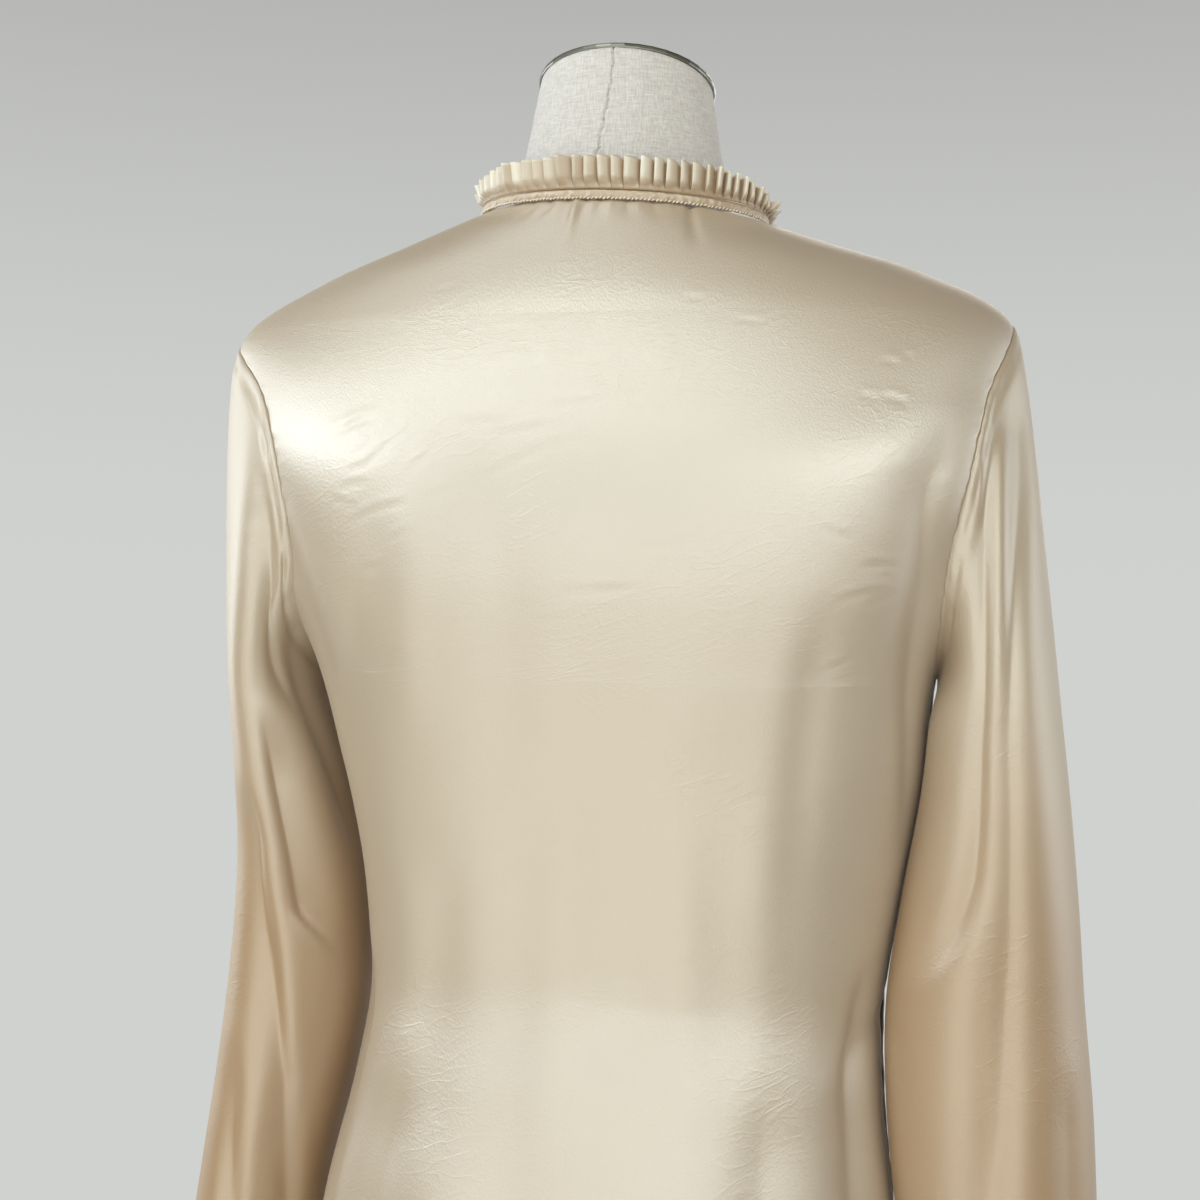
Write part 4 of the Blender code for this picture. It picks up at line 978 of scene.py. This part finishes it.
def sleeve_cap(side, sign, share, turn):
    """From the armhole to the first level oval, along curves that leave outwards and end along the sleeve."""
    start, end = armhole_ring(sign, turn), sleeve_section(side, sign, np.zeros_like(turn), turn)
    sine, cosine = sine_cosine(turn)
    clear = SEAM_GAP + 0.2 + 0.7 * (1 - cosine) / 2
    start = start + np.stack((sign * clear, 0 * sine, 0 * sine), -1)
    leave = unit(np.stack((sign * (0.55 + 0.35 * cosine**2), 0.15 * sine, -0.8 * sine**2 - 0.45 * cosine**2), -1))
    reach = np.linalg.norm(end - start, axis=-1, keepdims=True)
    onwards = unit(sleeve_section(side, sign, np.full_like(turn, 0.02), turn) - end)
    leave_length = (24.0 + 45.0 * sine**2 - 20.0 * (1 - cosine) / 2)[..., None]
    t = share[..., None]
    return (
        (2 * t**3 - 3 * t**2 + 1) * start + (t**3 - 2 * t**2 + t) * leave * leave_length
        + (3 * t**2 - 2 * t**3) * end + (t**3 - t**2) * 0.9 * onwards * reach
    )


def sleeve_allowance(sign, turn, cap_edge):
    """Two rows of seam allowance that run from the cap's edge in under the panels."""
    ring = armhole_ring(sign, turn, -1.9)
    inwards = np.stack((sign * np.ones_like(turn), 0 * turn, 0 * turn), -1)
    return np.stack((ring - 3.0 * inwards, ring - 0.6 * inwards, 0.35 * ring + 0.65 * cap_edge))


def sleeve_grid(side, sign, round_count, cap_rows, rows):
    """Cap and lower sleeve as one grid, its columns round the arm and its rows down it."""
    even = np.arange(round_count) * 360.0 / round_count
    turn = even + 22.0 * sine_cosine(even)[1]  # columns lie closer at the back, where the folds are
    share, turns = np.meshgrid(np.linspace(0.0, 1.0, cap_rows), turn, indexing="ij")
    cap = sleeve_cap(side, sign, share, turns)
    levels = np.linspace(0.0, len(SLEEVES[side]) - 1, rows + 1)[1:]
    level, below = np.meshgrid(levels, turn, indexing="ij")
    grid = np.concatenate((cap, sleeve_section(side, sign, level, below)))
    relief = folds(SLEEVE_FOLDS[side], np.concatenate((turns, below)), grid[..., 2], 38.0)
    relief[:cap_rows] *= soft_step(share / 0.26)
    from_seam = np.linalg.norm(grid - grid[0], axis=-1)
    relief += seam_puckers(from_seam, turn * 1.1, 5 + sign, 0.3, 8.0)
    groove = (1.6 + 0.7 * sign) * (0.65 + 0.5 * uneven(turn * 1.1, (15.0, 23.0, 37.0), 51 + sign))
    relief -= groove * np.clip(sine_cosine(turn)[0], 0.0, 1.0) * bell(from_seam - 6.0, 3.0)
    around = np.roll(grid, -1, axis=1) - np.roll(grid, 1, axis=1)
    normal = unit(np.cross(np.gradient(grid, axis=0), around)) * sign
    grid = grid + normal * relief[..., None]
    return np.concatenate((sleeve_allowance(sign, turn, grid[0]), grid))


for side, sign in SIDES:
    grid = sleeve_grid(side, sign, round_count=212, cap_rows=50, rows=118)
    if side == "left":
        grid = grid[:, ::-1]
    cloth_piece("silk_sleeve_" + side, grid, empty_shaded_satin, "sleeve_" + side, closed=True)

# %% [markdown]
# ## Cuffs
# A cuff is a straight band of two layers, closed by one button. Its ends overlap, so the band is an
# oval of more than a full turn whose last part rises over the first.

# %% Cuffs
CUFF_HEIGHT, CUFF_HALF_X, CUFF_HALF_Y = 45.0, 28.0, 36.0
CUFF_START, CUFF_END = 120.0, 504.0  # degrees, with 24 of overlap


def cuff_point(side, sign, turn, drop, out=0.0):
    """A point of the cuff: an oval round the wrist, risen where it overlaps, drop mm below its top."""
    z, inner, outer, y_middle = SLEEVES[side][-1][:4]
    turn, drop = together(turn, drop)
    lift = LAP_RISE * soft_step((turn - CUFF_START - 360.0 + 24.0) / 24.0) + out
    sine, cosine = sine_cosine(turn)
    x = (inner + outer) / 2 + (CUFF_HALF_X + lift) * cosine
    return np.stack((sign * x, y_middle + (CUFF_HALF_Y + lift) * sine, z - SEAM_GAP - drop), axis=-1)


for side, sign in SIDES:
    turn, drop = together(np.linspace(CUFF_START, CUFF_END, 210), np.linspace(0.0, CUFF_HEIGHT, 24)[:, None])
    inset = np.minimum(np.minimum(drop, CUFF_HEIGHT - drop), np.minimum(turn - CUFF_START, CUFF_END - turn) * 0.55)
    ripple = 0.25 * uneven(turn * 0.55, (6.0, 9.0, 14.0), 23 + sign) * bell(drop, 9.0)
    out = ripple + seam_roll(inset, 0.3, 1.2) - 0.2 * bell(inset - 4.0, 0.9)
    grid = cuff_point(side, sign, turn, drop, out)
    if side == "left":
        grid = grid[:, ::-1]
    cloth_piece("silk_cuff_" + side, grid, empty_shaded_satin, "cuff_" + side, wall=1.2)
    way = np.linspace(CUFF_START + 8.0, CUFF_END - 8.0, 500)
    for name, drop in (("upper", 4.0), ("lower", CUFF_HEIGHT - 4.0)):
        path = cuff_point(side, sign, way, drop, -0.1)
        outward = cuff_point(side, sign, way, drop, 1.0) - path
        stitches("cuff_stitches_" + name + "_" + side, path, outward, thread, 2.4)
    at = CUFF_START + 12.0
    spot = cuff_point(side, sign, at, CUFF_HEIGHT / 2, LAP_RISE + 0.3)
    sine, cosine = sine_cosine(at)
    outward = unit(np.array((sign * cosine / CUFF_HALF_X, sine / CUFF_HALF_Y, 0.0)))
    buttonhole("cuff_buttonhole_" + side, spot, outward)
    shell_button("shell_cuff_button_" + side, spot + 0.2 * outward, outward, "cuff_button_" + side)

# %% [markdown]
# ## Neck band and ruffle
# The ruffle is a strip of the same satin pressed into knife pleats and caught between two edges of
# the narrow band. A knife pleat's section is a flattened Z: the face starts at a proud fold, slopes
# in and passes under the next fold, then turns back. That section is repeated along the neckline with
# uneven widths, and each pleat leans, sways and ends in its own way, as pleats do after some wear.

# %% Strips that stand on the neckline
def neckline_strip(turn, height, out=0.0):
    """The neckline raised by a height, leaning outwards by 12 % of it and by out."""
    turn, height = together(turn, height)
    level = np.full(turn.shape, NECKLINE)
    foot = body_point(level, turn, lap_lift(level, turn))
    sine, cosine = sine_cosine(turn)
    away = 0.12 * height + out
    return foot + np.stack((sine * away, cosine * away, height), axis=-1)


neck_end = float(front_turn(np.array([NECKLINE]), LAP)[0])
left_edge = neck_end - 360.0

# %% Neck band
BAND_FOOT, BAND_TALL, ALONG_NECK = 0.4, 4.9, 1.15  # mm, mm and roughly mm for a degree
turn = np.linspace(neck_end, left_edge, 840)
share = np.linspace(0.0, 1.0, 9)[:, None]
waves = 1 + 0.9 * uneven(turn * ALONG_NECK, (4.1, 5.9, 8.3, 13.0), 31)
bulge = 0.35 * (1 - share) + 0.5 * np.sin(np.pi * share) ** 0.5 * waves
bulge = bulge + 0.25 * uneven(turn * ALONG_NECK + 4 * share, (3.1, 4.7, 7.0), 37) * (1 - share)
grid = neckline_strip(turn[None, :], BAND_FOOT + BAND_TALL * share, bulge)
cloth_piece("silk_neck_band", grid, ruffle_satin, "neck_band")

turn = np.linspace(neck_end - 1.0, left_edge + 1.0, 1200)
path = neckline_strip(turn, 0.9 + 0.3 * uneven(turn * ALONG_NECK, (3.7, 6.1, 9.5), 41), 1.2)
outward = np.stack((*sine_cosine(turn), 0.35 + 0 * turn), axis=-1)
stitches("band_stitches", path, outward, band_thread, 2.1, share=1.05, radius=0.36, slant=42.0)

# %% Ruffle
PLEATS, PLEAT_RISE = 68, 15.6
chance = np.random.default_rng(11)


def each(low, high):
    """A chance value for each pleat, as a column."""
    return chance.uniform(low, high, PLEATS)[:, None]


start, end = left_edge, float(front_turn(np.array([NECKLINE]), LAP + 1.2 + 1.0)[0])
widths = 1 + 0.18 * chance.uniform(-1, 1, PLEATS)
edges = end - (end - start) * np.concatenate(((0.0,), np.cumsum(widths))) / (widths.sum() + 0.2)
width = -np.diff(edges)[:, None]
share = np.array((0.03, 0.0, 0.05, 0.32, 0.66, 0.97, 1.13, 1.18, 1.11))
section = np.array((0.3, 1.1, 1.4, 1.1, 0.4, -0.5, -1.1, -1.0, -0.4))
face = np.array((0.6, 1.0, 1.0, 1.0, 1.0, 0.6, 0.2, 0.1, 0.2))  # how far each point moves with its own pleat
hidden = np.array((0.3, 0.0, 0.0, 0.0, 0.15, 0.7, 1.0, 1.0, 0.8))
rise = np.linspace(0.0, 1.0, 14)[:, None, None]
stand = rise * PLEAT_RISE
free = np.clip((stand - 2.2) / 13.4, 0.0, 1.0)  # the lowest part is held flat
side = np.abs((edges[:-1, None] + 180.0) % 360.0 - 180.0)
side_lean = 3.8 * bell(side - 92.0, 20.0)
lying = 1.0 - 0.66 * bell(side - 96.0, 33.0)  # the pleats lie lower towards the shoulders
lean = (each(-0.7, 0.7) + side_lean * each(-0.3, 1.7)) * face
tilt = each(-1.3, 1.3) * (share - 0.5) * face
sway = (each(-0.1, 0.1) + 0.05 * np.sin(np.arange(PLEATS) * 1.7)[:, None]) * face
deep = 0.15 + 2.0 * soft_step((stand - 1.2) / 4.5)
out = section * deep * each(0.75, 1.2) + lean * free**1.4 + tilt * free
turn = edges[:-1, None] - width * (share + sway * free)
notch = each(0.2, 2.2) * hidden
height = 5.6 + rise * lying * (16.4 + each(-0.6, 0.4) - notch)
strip = (len(rise), PLEATS, len(share))
turn, height, out = (np.broadcast_to(value, strip).reshape(len(rise), -1) for value in (turn, height, out))
ruffle = cloth_piece("silk_neck_ruffle", neckline_strip(turn, height, out), ruffle_satin, "neck_ruffle", wall=0.3)
# Painted light and shade: each pleat gets its own share of the pale painted highlight; its fold edge and the top edge
# get the most.
pleat_painted_light = each(0.0, 1.0) * np.array((0.4, 1.0, 1.0, 1.0, 0.6, 0.1, 0.0, 0.0, 0.0))
pressed = np.maximum(np.array((0.3, 1.0, 0.75, 0.0, 0.0, 0.0, 0.0, 0.0, 0.1)), pleat_painted_light)
pressed = np.maximum(pressed * np.clip(rise * 4.0 - 0.6, 0.0, 1.0), 0.75 * (rise > 0.95)) * each(0.55, 1.0)
edge = ruffle.data.attributes.new("painted_pleat_highlight", "FLOAT", "POINT")
edge.data.foreach_set("value", pressed.astype(np.float32).ravel())
print(PLEATS, "pleats")

# %% [markdown]
# ## The dress form
# The torso is a stack of ovals like the blouse's own, closed at both ends. A hand-sewn seam runs up
# its neck: a groove pressed into the linen, with slanting stitches across it.

# %% Torso
FORM_NAMES = ("z_back", "z_side", "z_front", "half_width", "tilt", "y_side", "y_back", "y_front", "square", "roll")
FORM_RINGS = np.array((
    (-645, -645, -645, 124, 0, 8, 98, -84, 2.2, 0), (-590, -590, -590, 129, 0, 10, 106, -88, 2.2, 0),
    (-520, -520, -520, 125, 0, 9, 102, -87, 2.2, 0), (-455, -455, -455, 115, 0, 6, 87, -85, 2.2, 0),
    (-400, -400, -400, 109, 0, 4, 76, -86, 2.2, 0), (-340, -340, -340, 116, 0, 1, 80, -98, 2.2, 0),
    (-280, -280, -280, 129, 0, -1, 88, -114, 2.25, 0), (-230, -228, -232, 143, 0, -3, 96, -126, 2.3, 0),
    (-180, -178, -190, 160, 0, -5, 99, -124, 2.35, 0), (-135, -134, -156, 180, 0, -7, 95, -112, 2.35, 0),
    (-98, -98, -130, 193, 0, -8, 85, -99, 2.35, 0), (-66, -58.5, -108, 193, 0, -8, 74, -87, 2.3, -0.017),
    (-43, -34.4, -94, 158, 0, -7, 65, -79, 2.25, -0.011), (-23, -17.9, -82, 113, 0, -5, 54, -72, 2.1, 0.005),
    (-8, -7.3, -64, 74, 0, -4, 46, -64, 2.0, 0.03), (8, 6, -34, 59, 0.04, -6, 42.5, -60, 2.0, 0.01),
    (34, 34, 12, 53, 0.12, -8, 39.5, -57.5, 2.0, 0), (70.5, 70.5, 70.5, 46.5, 0.25, -11, 35.5, -57.5, 2.0, 0),
), float)
NECK_FOOT = 14.0  # the row where the neck starts; the seam is shown from here up
NECK_SEAM = ((78, -2.8), (64, -1.6), (45, 1.2), (33, 3.4), (22, 4.7), (5, 5.2), (-20, 3.5), (-200, 0.0))


def seam_turn(z):
    """The turn of the neck's hand-sewn seam at a height, with a small zigzag where stitches pull it."""
    heights, turns = np.array(NECK_SEAM, float).T
    smooth = between_rows(turns[:, None], np.interp(-z, -heights, np.arange(len(NECK_SEAM))))[..., 0]
    return smooth + 0.55 * np.sin(z * 2 * np.pi / 11.0) + 0.25 * np.sin(z * 2 * np.pi / 4.3)


def form_oval(level, turn):
    """The form without its seam."""
    return oval(FORM_NAMES, FORM_RINGS, level, turn)


def torso_point(level, turn):
    """The form's surface with the seam's groove pressed along its outward direction, and that direction."""
    level, turn = together(level, turn)
    point, outward = form_oval(level, turn), outward_of(form_oval, level, turn)
    z = point[..., 2]
    away = ((turn - seam_turn(z) + 180.0) % 360.0 - 180.0) * 0.87
    shown = soft_step((z + 12.0) / 8.0)
    groove = -1.3 * bell(away, 0.42) + 0.35 * bell(np.abs(away) - 1.7, 1.0)
    return point + outward * (groove * shown)[..., None], outward


TOP_ROW = len(FORM_RINGS) - 1
levels = np.concatenate((np.linspace(0.0, NECK_FOOT, 120)[:-1], np.linspace(NECK_FOOT, TOP_ROW, 90)))
even = -np.arange(230) * 360.0 / 230
turn = even - 42.0 * sine_cosine(even)[0]  # columns lie closer at the back, where the seam is
grid, _ = torso_point(levels[:, None], turn[None, :])
torso = mesh_piece("linen_torso", with_ends(grid), closed_rings(*grid.shape[:2]), linen)
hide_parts("form_torso")
print("linen_torso", 2 * grid.shape[0] * grid.shape[1], "triangles")

# %% The neck seam's stitches
level = np.linspace(NECK_FOOT + 0.05, TOP_ROW - 0.05, 400)
way = seam_turn(form_oval(level, np.full(400, -8.0))[:, 2])
path, outward = torso_point(level, way - 0.7)
stitches("neck_seam_stitches", path, outward, flax_thread, 5.4, share=0.5, radius=0.3, slant=-42.0)
path, outward = torso_point(level + 0.03, way + 0.9)
stitches("neck_seam_stitches_back", path, outward, flax_thread, 5.4, share=0.36, radius=0.28, slant=48.0)

# %% CAD nodes that keep their shape
for node, finish in (("neck_cap", steel), ("pole_flange", steel), ("pole", steel), ("base", iron)):
    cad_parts[node].material_slots[0].material = finish

# %% The view transform, and the end
bpy.context.scene.view_settings.view_transform = "Standard"
bpy.context.view_layer.update()
